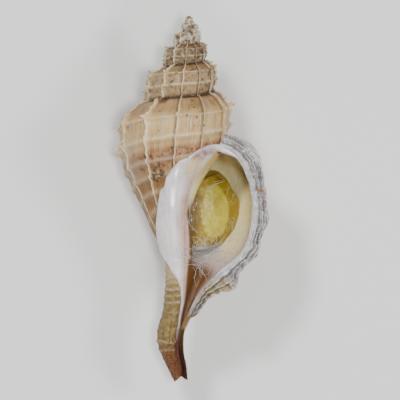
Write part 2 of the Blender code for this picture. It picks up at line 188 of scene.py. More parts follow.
def latticeNoise(u, v, seed, wrap=0):
    # soft noise between -1 and 1, for arrays of places
    u, v = np.broadcast_arrays(np.asarray(u, float), np.asarray(v, float))
    table = np.random.default_rng(seed).uniform(-1, 1, (256, 256))
    i, j = np.floor(u).astype(int), np.floor(v).astype(int)
    s, t = u - i, v - j
    s, t = s * s * (3 - 2 * s), t * t * (3 - 2 * t)

    def corner(a, b):
        a = (i + a) % wrap if wrap else i + a
        return table[a % 256, (j + b) % 256]

    top = corner(0, 0) * (1 - s) + corner(1, 0) * s
    bottom = corner(0, 1) * (1 - s) + corner(1, 1) * s
    return top * (1 - t) + bottom * t


def inPatch(spots, outline, soft):
    # 1 inside an outline drawn on the front view, 0 outside, over a soft edge; spots in front of the axis only
    corners = np.array([fromPhoto(*corner) for corner in outline])
    x, y = spots[..., 0], spots[..., 1]
    inside, nearest = np.zeros(x.shape, bool), np.full(x.shape, 1e9)
    for (ax, ay), (bx, by) in zip(corners, np.roll(corners, -1, axis=0)):
        along = clamp(((x - ax) * (bx - ax) + (y - ay) * (by - ay)) / ((bx - ax) ** 2 + (by - ay) ** 2))
        nearest = np.minimum(nearest, np.hypot(x - ax - along * (bx - ax), y - ay - along * (by - ay)))
        crosses = (ay > y) != (by > y)
        with np.errstate(divide="ignore", invalid="ignore"):
            inside ^= crosses & (x < (bx - ax) * (y - ay) / (by - ay) + ax)
    signed = np.where(inside, nearest, -nearest)
    return smoothStep(-soft, soft, signed) * (spots[..., 2] > -1.5)


photoScale = 0.1088  # millimetres to a pixel of the 400 by 400 picture
photoOrigin = (175, 14)


def fromPhoto(x, y):
    # a place in the picture, in the shell's own frame
    return (x - photoOrigin[0]) * photoScale, (photoOrigin[1] - y) * photoScale


# crests of the blades in one turn, as (degrees before the lip, size); the lip is the last one
blade = {
    "crests": ((-328, .95), (-298, .9), (-266, 1.05), (-232, .9), (-199, .9), (-165, 1.0), (-132, 1.05),
               (-100, 1.0), (-69, 1.05), (-38, .9), (0, 1.0)),
    "rise": 9.0,
    "drop": 2.6,
    # (section point, height)
    "height": ((0.0, .22), (1.0, .50), (2.4, .58), (4.0, .68), (4.9, .40), (5.8, .62), (6.6, .38),
               (7.4, .52), (8.1, .30), (8.7, .36), (9.6, .26), (11.0, .22), (12.5, .06), (19.0, .03)),
    "shrink": 0.45,
    "thinShare": 0.72,
    "thinRise": 2.4,
    "thinDrop": 1.1,
    "overhang": 0.55,
    "ragged": 0.30,
    "spine": 0.42,
    "frontWear": 0.40,
}
cord = {
    # angle, then the section points of the shoulder cord and of the main cord there
    "drift": ((-700, 2.5, 5.1), (-360, 3.2, 5.5), (-270, 3.6, 5.7), (-180, 4.2, 6.0), (0, 4.4, 6.1)),
    "shoulderHeight": 0.17,
    "mainHeight": 0.19,
    "rows": ((7.5, .16), (8.7, .15), (9.8, .12), (10.8, .08)),
    "width": 0.17,
}
ramp = {
    "dip": 0.30,
}
flange = {
    # (section point, reach of the lip's face beyond the whorl)
    "reach": ((0, 1.56), (0.5, 1.64), (1, 1.71), (1.5, 1.95), (2, 1.87), (2.5, 1.63), (3, 1.53), (3.5, 1.42),
              (4, 1.15), (4.5, 1.19), (5, 1.25), (5.5, 1.24), (6, 1.28), (6.5, 1.53), (7, 1.30), (7.5, 0.87),
              (8, 1.09), (8.5, 1.17), (9, 1.08), (9.5, 1.00), (10, 1.08), (10.5, 2.02), (11, 2.19), (11.5, 2.01),
              (12, 1.53), (12.5, 1.23), (13, 1.09), (13.5, 1.00), (14, 1.02), (14.5, 0.85), (15, 0.75),
              (15.4, 0.20), (16, 0.06), (16.5, 0.20), (17, 0.26), (18, 0.23), (19, 0.25)),
    "run": 16.0,
    "ragged": 0.07,
}
shield = {
    # outline of the white inner lip in the front view, from the mouth's top corner down its free edge
    "outline": ((226, 150), (220, 146.6), (214, 145), (205, 146.5), (199, 149.5), (188, 157.5), (180, 160.5),
                (172, 169), (166, 178), (164.5, 186), (160.5, 190.5), (159, 200), (157.6, 215), (157, 225), (158, 235),
                (160, 245), (163, 255), (168, 263), (172, 272), (177.5, 280), (180.5, 290), (181, 303), (178.5, 320),
                (176.5, 336), (175, 348), (177, 360), (240, 360), (240, 150)),
    # the part of it that is white, and the pink and beige places on it
    "white": ((214, 144), (205, 146), (199, 149), (188, 157), (180, 160), (170, 169), (162, 180), (157, 191), (155, 215),
              (156, 240), (162, 258), (172, 274), (179, 290), (177, 318), (174, 338), (175.5, 344), (178, 334),
              (180, 320), (181.5, 312), (184.5, 300), (185.5, 290), (186.5, 276), (187.5, 265), (189, 255), (189, 240),
              (188, 225), (186.5, 214), (188, 205), (190.5, 190), (197, 175), (205, 165), (214, 153), (221, 149)),
    "pink": ((200, 168), (191, 188), (188.5, 205), (187, 215), (189, 240), (188.5, 262), (186, 288), (183, 300),
             (182, 280), (181.5, 250), (180, 220), (182, 200), (189, 180)),
    "beige": ((184, 163), (196, 158), (208, 158), (202, 169), (190, 178), (184, 175)),
    "tint": ((190, 160), (194, 153), (203, 149.5), (213, 149), (215, 153), (207, 158), (197, 163)),
    "thick": 0.34,
    "rise": 0.20,
    "end": -215,
}


def bladeShape(beforeLip, point):
    # (height, lean forward) of the blade at a place
    beforeLip, point = np.broadcast_arrays(np.asarray(beforeLip, float), np.asarray(point, float))
    lift = np.zeros(beforeLip.shape)
    for crest, size in blade["crests"]:
        past = wrapped(beforeLip - crest)
        rising = (past > -blade["rise"]) & (past <= 0)
        falling = (past > 0) & (past < blade["drop"])
        broad = np.where(past <= 0, (1 + past / blade["rise"]) ** 2, 1 - past / blade["drop"])
        near = np.where(past <= 0, 1 + past / blade["thinRise"], 1 - past / blade["thinDrop"])
        shape = (1 - blade["thinShare"]) * broad + blade["thinShare"] * clamp(near) ** 1.3
        lift = np.where(rising | falling, size * shape, lift)
    heights = np.interp(point, *zip(*blade["height"]))
    shoulder, main = cordPoints(beforeLip + whorl["sutureEnd"])
    heights += blade["spine"] * (hump(point, shoulder, 0.35) + 0.5 * hump(point, main, 0.3))
    facing = wrapped(beforeLip + whorl["sutureEnd"] - 90)
    heights *= 1 - blade["frontWear"] * hump(facing, 0, 42)
    ragged = 1 + blade["ragged"] * latticeNoise(point * 3.1, np.round(beforeLip / 11), 5)
    ragged += 0.4 * blade["ragged"] * latticeNoise(point * 9.0, np.round(beforeLip / 11) + 40, 6)
    return lift * heights * ragged


def cordPoints(angle):
    keys = [row[0] for row in cord["drift"]]
    return tuple(np.interp(angle, keys, [row[k] for row in cord["drift"]]) for k in (1, 2))


def cordShape(angle, point):
    shoulder, main = cordPoints(angle)
    rows = [(shoulder, cord["shoulderHeight"]), (main, cord["mainHeight"]), *cord["rows"]]
    return sum(height * hump(point, at, cord["width"]) for at, height in rows)


def trueAngle(beforeLip, point):
    shear = smoothRead(points, lipAngle, point) - whorl["sutureEnd"]
    return beforeLip + whorl["sutureEnd"] + shear * clamp(1 + beforeLip / 60)


def flangeShape(beforeLip, point):
    near = clamp(1 + beforeLip / flange["run"]) ** 2.2
    reach = np.interp(point, *zip(*flange["reach"]))
    jagged = latticeNoise(point * 6.3, 0.5, 21) + 0.6 * latticeNoise(point * 17.0, 0.5, 22)
    return near * (reach + flange["ragged"] * jagged * clamp((16.5 - point) / 2))


def crossRidges(beforeLip, point, down):
    # the growth steps that run round the canal
    wander = down + 0.22 * latticeNoise(beforeLip / 28, down * 0.9, 13)
    steps = sum(size * hump(wander, at, 0.13) for at, size in marks["steps"])
    return steps * smoothStep(11.4, 12.2, point) * smoothStep(-20, -45, beforeLip)


def outside(beforeLip, point):
    # a point of the shell's finished outside, and what stands there
    beforeLip, point = np.broadcast_arrays(np.asarray(beforeLip, float), np.asarray(point, float))
    angle = trueAngle(beforeLip, point)
    plain = section(angle, point)
    normal = outward(angle, point)
    size = growth(np.minimum(angle, -60))
    front = (beforeLip >= -365) & (beforeLip < shield["end"])
    bare = 1 - inPatch(place(angle, plain[..., 0], plain[..., 1]), shield["outline"], 0.05) * front
    blades = bladeShape(beforeLip, point) * size ** blade["shrink"] * (beforeLip < -flange["run"])
    shoulder, main = cordPoints(angle)
    dip = ramp["dip"] * size * np.sin(np.pi * clamp(point / shoulder)) ** 2 * smoothStep(-330, -420, angle)
    cords = cordShape(angle, point) * size - dip
    reach = flangeShape(beforeLip, point) * (beforeLip >= -flange["run"])
    striae = 0.016 * latticeNoise(beforeLip * 1.7, point * 0.5, 11) + 0.010 * latticeNoise(beforeLip * 4.1, point, 12)
    worn = smoothStep(-560, -900, beforeLip)
    striae += (0.035 + 0.10 * worn) * latticeNoise(beforeLip / 9, point * 1.6, 14)
    striae += 0.12 * worn * latticeNoise(beforeLip / 4, point * 3.1, 19)
    lump = np.exp(-(((point - 16.3) / 0.4) ** 2) - ((angle + 180) / 55) ** 2)
    grains = latticeNoise(beforeLip / 5, point * 8, 23) * smoothStep(16.2, 17.0, point)
    ridges = 0.15 * crossRidges(beforeLip, point, plain[..., 1]) + 0.22 * lump + 0.09 * grains
    lift = (blades + cords + reach + striae * size) * bare + ridges
    lean = np.degrees(blades * bare * blade["overhang"] / np.maximum(plain[..., 0], 0.5))
    spot = place(angle + lean, plain[..., 0] + normal[..., 0] * lift, plain[..., 1] + normal[..., 1] * lift)
    firstTurn = clamp(beforeLip / 360 + whorl["turns"])
    swell = (np.sin(np.pi / 2 * firstTurn) ** whorl["apexBluntness"])[..., None]
    return apexSpot + (spot - apexSpot) * swell, shellMasks(beforeLip, angle, point, spot, bare)


# marks on the shell, in the front view: the brown pit, dark specks and the scaly notch beside the inner lip
marks = {
    "pit": ((157, 100), (160, 97.5), (165, 98), (167.5, 101), (165, 104), (160, 104)),
    "specks": ((141, 122.5), (192, 101.5), (204, 126), (187, 116), (153, 159), (134.5, 155), (180, 154), (197, 118),
               (130, 187), (130.5, 190.5), (172, 148), (160, 112)),
    "notch": ((151, 167), (158, 166), (165, 172), (163, 181), (157, 185), (151, 178)),
    # whitish steps round the canal, as (distance below the apex, size)
    "steps": ((27.9, .6), (28.7, .9), (29.3, .7), (30.0, 1.0), (30.7, .8), (31.4, 1.0), (32.4, .6), (33.4, .4),
              (34.4, .5), (35.6, .9), (36.5, .7)),
}


def nearSpots(spots, places, size):
    found = 0
    for x, y in (fromPhoto(*at) for at in places):
        found = np.maximum(found, np.exp(-((spots[..., 0] - x) ** 2 + (spots[..., 1] - y) ** 2) / size**2))
    return found * (spots[..., 2] > 0)


def shellMasks(beforeLip, angle, point, spot, bare):
    # what the shell's material paints, and where
    threadAge = np.full(beforeLip.shape, 99.0)
    for crest, size in blade["crests"]:
        past = wrapped(beforeLip - crest)
        threadAge = np.where(np.abs(past) < np.abs(threadAge), past, threadAge)
    shoulder, main = cordPoints(angle)
    cords = [(shoulder, 0.7), (main, 1.0), *((at, 0.6) for at, height in cord["rows"])]
    cordMask = sum(weight * hump(point, at, 0.16) for at, weight in cords)
    # painted shade: a dark line just below each cord
    cordShade = sum(weight * hump(point - at, 0.36, 0.17) for at, weight in cords)
    facing = hump(wrapped(angle - 90), 0, 60)
    leftSide = hump(wrapped(angle - 172), 0, 20)
    lastTurn = smoothStep(-372, -358, beforeLip)
    bladePart = smoothStep(12.4, 11.0, point) * bare
    return {
        "bladeMask": np.where(threadAge > 0, smoothStep(0.9, 0.2, threadAge),
                              smoothStep(-1.5, -0.4, threadAge)) * bladePart,
        # painted shade on the side of each blade that its overhang shadows
        "seamMask": smoothStep(0.6, 1.4, threadAge) * smoothStep(5.5, 2.2, threadAge) * bladePart,
        "crossMask": smoothStep(0.35, 0.9, crossRidges(beforeLip, point, section(angle, point)[..., 1]))
                     * (0.7 + 0.3 * latticeNoise(beforeLip / 17, point * 2.1, 24)),
        # painted sheen: silvery grey on the left side of the last turn, from the shoulder cord down
        "silverMask": leftSide * smoothStep(3.6, 4.6, point) * smoothStep(9.5, 8.0, point) * lastTurn,
        "cordMask": clamp(cordMask) * bare,
        "cordShade": clamp(cordShade) * bare,
        # painted shade in the sutures between the whorls
        "sutureMask": np.maximum(smoothStep(0.9, 0.1, point), (point <= lowerSuture) * (beforeLip < -360)
                                 * smoothStep(0.6, 0.1, lowerSuture - point)),
        "rampMask": smoothStep(shoulder + 0.2, shoulder - 1.6, point),
        "bandMask": smoothStep(main + 0.5, main + 1.1, point) * smoothStep(8.6, 8.0, point) * lastTurn,
        "baseMask": smoothStep(7.8, 9.0, point),
        "canalMask": smoothStep(12.2, 13.4, point),
        "tipMask": smoothStep(17.0, 18.2, point),
        "apexMask": smoothStep(-1180, -1500, beforeLip),
        "pitMask": facing * np.maximum(inPatch(spot, marks["pit"], 0.10),
                                       0.9 * nearSpots(spot, marks["specks"], 0.10)),
        "notchMask": facing * inPatch(spot, marks["notch"], 0.25),
        "turnAngle": beforeLip / 10,
        "sectionPoint": point,
    }


def bladeColumns():
    # angles of one turn, close together at each blade
    columns, previous = [], -360.0
    for crest, size in blade["crests"]:
        columns += [previous + d for d in (0.0, 0.25, 0.6, 1.0, 1.6, 2.6)]
        start, end = previous + blade["drop"], crest - blade["rise"]
        columns += list(np.linspace(start, end, 14)[1:])
        columns += [crest + d for d in (-8, -7, -6, -5, -4, -3.2, -2.5, -1.8, -1.2, -0.7, -0.3)]
        previous = crest
    return np.array(columns + [0.0])


apexSpot = place(0, 0, whorl["apexDown"])

# from the shell's own frame in millimetres to the row's frame in metres
layDown = np.array(Matrix.Rotation(math.radians(whorl["roll"]), 3, "Y")
                   @ Matrix.Rotation(math.radians(whorl["pitch"]), 3, "X"))
cadPoints = np.array([v.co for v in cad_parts["shell"].data.vertices])
cadApex = cadPoints[np.argmax(cadPoints @ layDown[:, 1])]
shift = cadApex - layDown @ apexSpot / 1000


def toRow(spots):
    return np.asarray(spots) / 1000 @ layDown.T + shift


class Surface:
    # gathers grids of points into one mesh, with numbers stored at each point

    def __init__(self):
        self.spots, self.faces, self.values, self.count = [], [], {}, 0

    def add(self, grid, values=None, wrapRows=False, wrapColumns=False, flip=False):
        rows, columns = grid.shape[:2]
        index = self.count + np.arange(rows * columns).reshape(rows, columns)
        if wrapRows:
            index = np.vstack([index, index[:1]])
        if wrapColumns:
            index = np.hstack([index, index[:, :1]])
        quads = np.stack([index[:-1, :-1], index[:-1, 1:], index[1:, 1:], index[1:, :-1]], -1).reshape(-1, 4)
        self.faces.append(quads[:, ::-1] if flip else quads)
        self.spots.append(grid.reshape(-1, 3))
        for name in set(self.values) | set(values or {}):
            kept = self.values.setdefault(name, [np.zeros(self.count)] if self.count else [])
            value = (values or {}).get(name, 0.0)
            kept.append(np.broadcast_to(value, (rows, columns)).reshape(-1).astype(float))
        self.count += rows * columns

    def build(self, name, material, node):
        spots, faces = toRow(np.vstack(self.spots)), np.vstack(self.faces)
        spots[:, 2] = np.maximum(spots[:, 2], 0)
        mesh = bpy.data.meshes.new(name)
        mesh.vertices.add(len(spots))
        mesh.vertices.foreach_set("co", spots.reshape(-1))
        mesh.loops.add(faces.size)
        mesh.loops.foreach_set("vertex_index", faces.reshape(-1).astype(np.int32))
        mesh.polygons.add(len(faces))
        mesh.polygons.foreach_set("loop_start", np.arange(0, faces.size, 4, dtype=np.int32))
        mesh.polygons.foreach_set("loop_total", np.full(len(faces), 4, dtype=np.int32))
        mesh.update(calc_edges=True)
        for key, parts in self.values.items():
            mesh.attributes.new(key, "FLOAT", "POINT").data.foreach_set("value", np.concatenate(parts))
        mesh.validate()
        mesh.shade_smooth()
        mesh.materials.append(material)
        piece = bpy.data.objects.new(name, mesh)
        bpy.context.scene.collection.objects.link(piece)
        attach(piece, "root")
        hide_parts(node)
        print("built", name, len(faces) * 2, "triangles")

    def tree(self):
        # for looking down on the piece from the viewer's side, in the shell's own frame
        return BVHTree.FromPolygons(np.vstack(self.spots).tolist(), np.vstack(self.faces).tolist())


def addNode(tree, kind, inputs=None, **settings):
    node = tree.nodes.new(kind)
    for key, value in settings.items():
        setattr(node, key, value)
    for key, value in (inputs or {}).items():
        if isinstance(value, bpy.types.NodeSocket):
            tree.links.new(value, node.inputs[key])
        else:
            node.inputs[key].default_value = value
    return node


def stored(tree, name):
    return addNode(tree, "ShaderNodeAttribute", attribute_name=name).outputs["Fac"]


def reckon(tree, operation, *values):
    return addNode(tree, "ShaderNodeMath", dict(enumerate(values)), operation=operation).outputs[0]


def mixed(tree, *parts):
    # the sum of values, each times its share
    total = 0.0
    for value, share in parts:
        total = reckon(tree, "MULTIPLY_ADD", value, share, total)
    return total


def spread(tree, value, low, high, first=0.0, last=1.0):
    inputs = {"Value": value, "From Min": low, "From Max": high, "To Min": first, "To Max": last}
    return addNode(tree, "ShaderNodeMapRange", inputs, clamp=True).outputs["Result"]


def paint(tree, mask, under, over):
    return addNode(tree, "ShaderNodeMix", {0: mask, 6: under, 7: over}, data_type="RGBA").outputs[2]


def layers(tree, colour, tones, rows):
    # colours laid one over another: in each row a colour, then what its mask is multiplied from
    for over, mask, *shares in rows:
        for share in shares:
            mask = reckon(tree, "MULTIPLY", mask, share)
        colour = paint(tree, mask, colour, tones[over] if isinstance(over, str) else over)
    return colour


def tone(red, green, blue):
    # a screen colour of 0 to 255, as the shader wants it
    share = np.array([red, green, blue]) / 255
    return (*np.where(share <= 0.04045, share / 12.92, ((share + 0.055) / 1.055) ** 2.4).tolist(), 1.0)


def newGroup(name, inputs, outputs):
    group = bpy.data.node_groups.new(name, "ShaderNodeTree")
    for socket, value in inputs.items():
        group.interface.new_socket(socket, in_out="INPUT", socket_type="NodeSocketFloat").default_value = value
    for socket in outputs:
        group.interface.new_socket(socket, in_out="OUTPUT", socket_type="NodeSocketFloat")
    return group, group.nodes.new("NodeGroupInput").outputs, group.nodes.new("NodeGroupOutput").inputs


def placeGroup(tree, group, inputs):
    return addNode(tree, "ShaderNodeGroup", inputs, node_tree=group).outputs


def millimetres(tree):
    # the place on the piece
    spot = addNode(tree, "ShaderNodeTexCoord").outputs["Object"]
    return addNode(tree, "ShaderNodeVectorMath", {0: spot, 1: (1000, 1000, 1000)}, operation="MULTIPLY").outputs[0]


# growth lines, which run across the direction of growth on every part of the shell
growthLines, given, made = newGroup("growthLines", {"Turn": 0.0, "Point": 0.0, "Fineness": 6.0, "Stretch": 0.35},
                                    ("Fine", "Broad"))
tree = growthLines
for output, share, detail in (("Fine", 1.0, 3.0), ("Broad", 0.22, 2.0)):
    along = reckon(tree, "MULTIPLY", reckon(tree, "MULTIPLY", given["Turn"], given["Fineness"]), share)
    down = reckon(tree, "MULTIPLY", given["Point"], given["Stretch"])
    where = addNode(tree, "ShaderNodeCombineXYZ", {"X": along, "Y": down}).outputs[0]
    noise = addNode(tree, "ShaderNodeTexNoise", {"Vector": where, "Scale": 1.0, "Detail": detail, "Roughness": 0.55})
    tree.links.new(spread(tree, noise.outputs["Fac"], 0.32, 0.68), made[output])

# uneven tone and small pitted grain, by place on the piece in millimetres
mottle, given, made = newGroup("mottle", {"Scale": 1.0}, ("Soft", "Fine", "Grain"))
tree = mottle
spotMm = millimetres(tree)
for output, share, low, high in (("Soft", 0.45, 0.35, 0.65), ("Fine", 2.2, 0.35, 0.65), ("Grain", 9.0, 0.3, 0.7)):
    scale = reckon(tree, "MULTIPLY", given["Scale"], share)
    noise = addNode(tree, "ShaderNodeTexNoise", {"Vector": spotMm, "Scale": scale, "Detail": 4.0})
    tree.links.new(spread(tree, noise.outputs["Fac"], low, high), made[output])

# scattered specks, such as small brown pits and stains
specks, given, made = newGroup("specks", {"Scale": 1.0, "Size": 0.16, "Share": 0.2}, ("Mask",))
tree = specks
spotMm = millimetres(tree)
bend = addNode(tree, "ShaderNodeTexNoise", {"Vector": spotMm, "Scale": 5.0, "Detail": 2.0}).outputs["Color"]
bent = addNode(tree, "ShaderNodeVectorMath", {0: bend, 1: (0.22, 0.22, 0.22), 2: spotMm}, operation="MULTIPLY_ADD")
cells = addNode(tree, "ShaderNodeTexVoronoi", {"Vector": bent.outputs[0], "Scale": given["Scale"]})
chosen = addNode(tree, "ShaderNodeSeparateColor", {0: cells.outputs["Color"]}).outputs[0]
near = spread(tree, reckon(tree, "SUBTRACT", cells.outputs["Distance"], given["Size"]), 0.06, -0.06)
tree.links.new(reckon(tree, "MULTIPLY", near, reckon(tree, "LESS_THAN", chosen, given["Share"])), made["Mask"])


def newMaterial(name, roughness, coat=0.0, soft=0.0, softRadius=(0.0006, 0.0004, 0.0003)):
    material = bpy.data.materials.new(name)
    material.use_nodes = True
    tree = material.node_tree
    shader = tree.nodes["Principled BSDF"]
    shader.inputs["Roughness"].default_value = roughness
    shader.inputs["Coat Weight"].default_value = coat
    shader.inputs["Coat Roughness"].default_value = 0.12
    shader.inputs["Subsurface Weight"].default_value = soft
    shader.inputs["Subsurface Radius"].default_value = softRadius
    shader.inputs["Subsurface Scale"].default_value = 1.0
    return material, tree, shader


def dress(tree, shader, colour, relief, depth, roughness=None):
    # joins a colour, a relief so many metres deep and a roughness to the shader
    bump = addNode(tree, "ShaderNodeBump", {"Height": relief, "Distance": depth, "Strength": 1.0})
    tree.links.new(colour, shader.inputs["Base Color"])
    tree.links.new(bump.outputs["Normal"], shader.inputs["Normal"])
    if roughness is not None:
        tree.links.new(roughness, shader.inputs["Roughness"])


chalkTones = {
    "tan": tone(192, 156, 96), "pale": tone(214, 188, 136), "warm": tone(168, 126, 68),
    "ramp": tone(122, 84, 38), "band": tone(138, 86, 54), "bandDeep": tone(98, 50, 26),
    "base": tone(138, 98, 42), "canalTop": tone(190, 166, 118), "canal": tone(146, 124, 72),
    "canalLow": tone(112, 86, 40), "tip": tone(92, 42, 4), "tipGrain": tone(166, 122, 70),
    # the seam tone, dark brown, draws the growth lines and is also painted as shade behind the blades and below the
    # cords
    "thread": tone(226, 208, 172), "seamAndShade": tone(84, 54, 26), "speck": tone(64, 32, 12),
    # the suture tone, dark brown, draws the spire's dark mottle and the notch, and also the painted shade in the
    # sutures
    "spire": tone(112, 88, 58), "apex": tone(158, 144, 122), "pit": tone(84, 34, 6), "suture": tone(48, 26, 12),
    "silver": tone(176, 170, 156), "worn": tone(226, 220, 210),
}


def makeChalk():
    material, tree, shader = newMaterial("chalkyShell", 0.5, coat=0.08, soft=0.10)
    mask, between, tones = partial(stored, tree), partial(spread, tree), chalkTones
    lines = placeGroup(tree, growthLines, {"Turn": mask("turnAngle"), "Point": mask("sectionPoint"), "Fineness": 7.0})
    spots = placeGroup(tree, mottle, {"Scale": 1.0})
    pits = placeGroup(tree, specks, {"Scale": 1.3, "Size": 0.14, "Share": 0.16})
    dust = placeGroup(tree, specks, {"Scale": 3.6, "Size": 0.12, "Share": 0.14})
    soft, fine, grain = spots["Soft"], spots["Fine"], spots["Grain"]
    aged = between(mask("turnAngle"), -35.0, -85.0, 0.0, 0.9)
    canal = layers(tree, tones["canal"], tones, (
        ("canalLow", fine),
        ("canalTop", between(mask("sectionPoint"), 15.2, 14.4, 0.0, 0.85)),
    ))
    apex = layers(tree, tones["apex"], tones, (
        ("worn", between(fine, 0.55, 0.8)),
        ("ramp", between(fine, 0.42, 0.15)),
    ))
    onWhorl = reckon(tree, "SUBTRACT", 1.0, reckon(tree, "MAXIMUM", mask("canalMask"), mask("apexMask")))
    lineShare = reckon(tree, "MULTIPLY", onWhorl, between(soft, 0.2, 0.9, 0.08, 0.42))
    raised = reckon(tree, "MAXIMUM", mask("bladeMask"), reckon(tree, "MULTIPLY", mask("cordMask"), 0.7))
    raised = reckon(tree, "MAXIMUM", raised, mask("crossMask"))
    colour = layers(tree, tones["tan"], tones, (
        ("warm", soft),
        ("pale", lines["Broad"], 0.5),
        ("silver", between(fine, 0.55, 0.9), 0.4),
        ("spire", aged),
        ("suture", aged, between(fine, 0.35, 0.1)),
        ("apex", aged, between(fine, 0.7, 0.95)),
        ("ramp", mask("rampMask"), between(lines["Broad"], 0.2, 1.0, 0.35, 0.95)),
        (paint(tree, fine, tones["band"], tones["bandDeep"]), mask("bandMask"), between(fine, 0, 1, 0.55, 1.0)),
        (paint(tree, fine, tones["base"], tones["ramp"]), mask("baseMask")),
        (canal, mask("canalMask")),
        (paint(tree, between(grain, 0.55, 0.85), tones["tip"], tones["tipGrain"]), mask("tipMask")),
        (apex, mask("apexMask"), 0.85),
        ("seamAndShade", between(lines["Fine"], 0.35, 0.0), lineShare),
        ("thread", between(lines["Fine"], 0.7, 1.0), lineShare),
        # painted shade behind each blade
        ("seamAndShade", mask("seamMask"), 0.7),
        # painted shade below the cords
        ("seamAndShade", mask("cordShade"), 0.22),
        # painted shade in the sutures
        ("suture", mask("sutureMask"), between(fine, 0.0, 0.6, 0.55, 0.95), onWhorl),
        # painted sheen on the left side of the last turn
        ("silver", mask("silverMask"), between(fine, 0.2, 0.8, 0.0, 0.7)),
        ("thread", raised, between(fine, 0.0, 0.7, 0.30, 0.85)),
        ("speck", pits["Mask"], 0.75),
        ("speck", dust["Mask"], 0.55),
        ("pit", mask("pitMask")),
        ("suture", mask("notchMask"), between(fine, 0.65, 0.4)),
    ))
    rugged = reckon(tree, "MAXIMUM", aged, reckon(tree, "MAXIMUM", mask("canalMask"), mask("notchMask")))
    relief = mixed(tree, (lines["Fine"], 1.0), (grain, 0.5), (pits["Mask"], -1.5), (mask("pitMask"), -6.0),
                   (reckon(tree, "MULTIPLY", fine, rugged), 3.0))
    dress(tree, shader, colour, relief, 0.00004, between(grain, 0, 1, 0.36, 0.62))
    return material


porcelainTones = {
    "white": tone(232, 226, 224), "streak": tone(174, 164, 172), "pink": tone(182, 134, 110),
    "purple": tone(150, 100, 108), "deep": tone(234, 220, 164), "ceiling": tone(190, 164, 104),
    "beige": tone(196, 172, 120), "grooveAndShade": tone(100, 62, 14), "grooveLow": tone(84, 28, 3),
}


def makePorcelain():
    material, tree, shader = newMaterial("porcelain", 0.24, soft=0.25)
    mask, between, tones = partial(stored, tree), partial(spread, tree), porcelainTones
    lines = placeGroup(tree, growthLines, {"Turn": mask("turnAngle"), "Point": mask("sectionPoint"),
                                           "Fineness": 1.1, "Stretch": 0.45})
    spots = placeGroup(tree, mottle, {"Scale": 0.8})
    soft, fine, grooved = spots["Soft"], spots["Fine"], mask("grooveMask")
    colour = layers(tree, tones["white"], tones, (
        ("streak", lines["Fine"], between(soft, 0.1, 0.9, 0.3, 0.8)),
        ("pink", mask("mouthMask"), between(soft, 0, 1, 0.7, 1.0)),
        ("purple", mask("tintMask"), between(fine, 0, 1, 0.45, 1.0)),
        ("beige", mask("beigeMask"), 0.7),
        (paint(tree, mask("ceilingMask"), tones["deep"], tones["ceiling"]), mask("deepMask")),
        # the brown of the canal groove, and painted shade below the operculum
        (paint(tree, between(mask("sectionPoint"), 16.2, 17.6), tones["grooveAndShade"], tones["grooveLow"]), grooved),
    ))
    tree.links.new(between(grooved, 0, 1, 0.5, 0.0), shader.inputs["Coat Weight"])
    rough = mixed(tree, (between(fine, 0, 1, 0.18, 0.34), 1.0), (grooved, 0.35))
    dress(tree, shader, colour, mixed(tree, (lines["Fine"], 1.0), (spots["Grain"], 0.15)), 0.00002, rough)
    return material


sheetTones = {
    "grey": tone(190, 184, 180), "dark": tone(104, 96, 94), "edge": tone(246, 244, 242), "stain": tone(146, 86, 20),
    "yellow": tone(166, 136, 52), "fleck": tone(84, 52, 22), "lavender": tone(150, 140, 146), "shade": tone(44, 36, 36),
    "low": tone(146, 114, 66), "tip": tone(88, 42, 10),
}


def makeSheet(name, pale):
    material, tree, shader = newMaterial(name, 0.30, coat=0.35, soft=0.3)
    mask, between, tones = partial(stored, tree), partial(spread, tree), sheetTones
    across, point = mask("across"), mask("sectionPoint")
    lines = placeGroup(tree, growthLines, {"Turn": across, "Point": point, "Fineness": 12.0, "Stretch": 0.8})
    crossFolds = placeGroup(tree, growthLines, {"Turn": point, "Point": across, "Fineness": 6.0, "Stretch": 2.2})
    spots = placeGroup(tree, mottle, {"Scale": 1.2})
    flecks = placeGroup(tree, specks, {"Scale": 2.4, "Size": 0.13, "Share": 0.10})
    fine = spots["Fine"]
    colour = layers(tree, tones["dark"], tones, (
        ("grey", between(lines["Fine"], 0.15, 0.8)),
        # painted shade in the hollows of the cross folds
        ("dark", between(crossFolds["Fine"], 0.45, 0.0, 0.0, 0.6)),
        ("lavender", fine, 0.35),
        ("edge", between(lines["Fine"], 0.75, 1.0), 0.6),
        # painted light on the tops of the cross folds
        ("edge", between(crossFolds["Fine"], 0.75, 1.0), 0.7),
        ("edge", pale),
        # painted shade low down on the glassy part of the outer sheets
        ("dark", between(mask("glassMask"), 0, 1, 0.0, 0.55), between(fine, 0.0, 1.0, 1.0, 0.5)),
        ("yellow", mask("yellowMask"), between(fine, 0, 1, 0.3, 0.8)),
        # painted shade in the crease under the next sheet
        ("shade", mask("shadeMask"), between(spots["Soft"], 0, 1, 0.35, 0.85)),
        ("edge", mask("edgeMask")),
        ("stain", mask("stainMask"), between(fine, 0.1, 0.7)),
        (paint(tree, between(point, 16.0, 17.4), tones["low"], tones["tip"]), mask("lowMask")),
        ("fleck", flecks["Mask"], 0.6),
    ))
    relief = mixed(tree, (lines["Fine"], 1.0), (spots["Grain"], 0.3), (crossFolds["Fine"], 1.2))
    dress(tree, shader, colour, relief, 0.00006, between(spots["Grain"], 0, 1, 0.20, 0.42))
    return material


hornTones = {
    # the dark tone draws the dark growth rings and also the painted shade on the operculum
    "amber": tone(144, 122, 28), "bright": tone(192, 178, 64), "dark": tone(104, 74, 4), "edge": tone(140, 112, 36),
    "film": tone(208, 200, 130), "skirt": tone(172, 152, 72), "deep": tone(126, 108, 22),
}


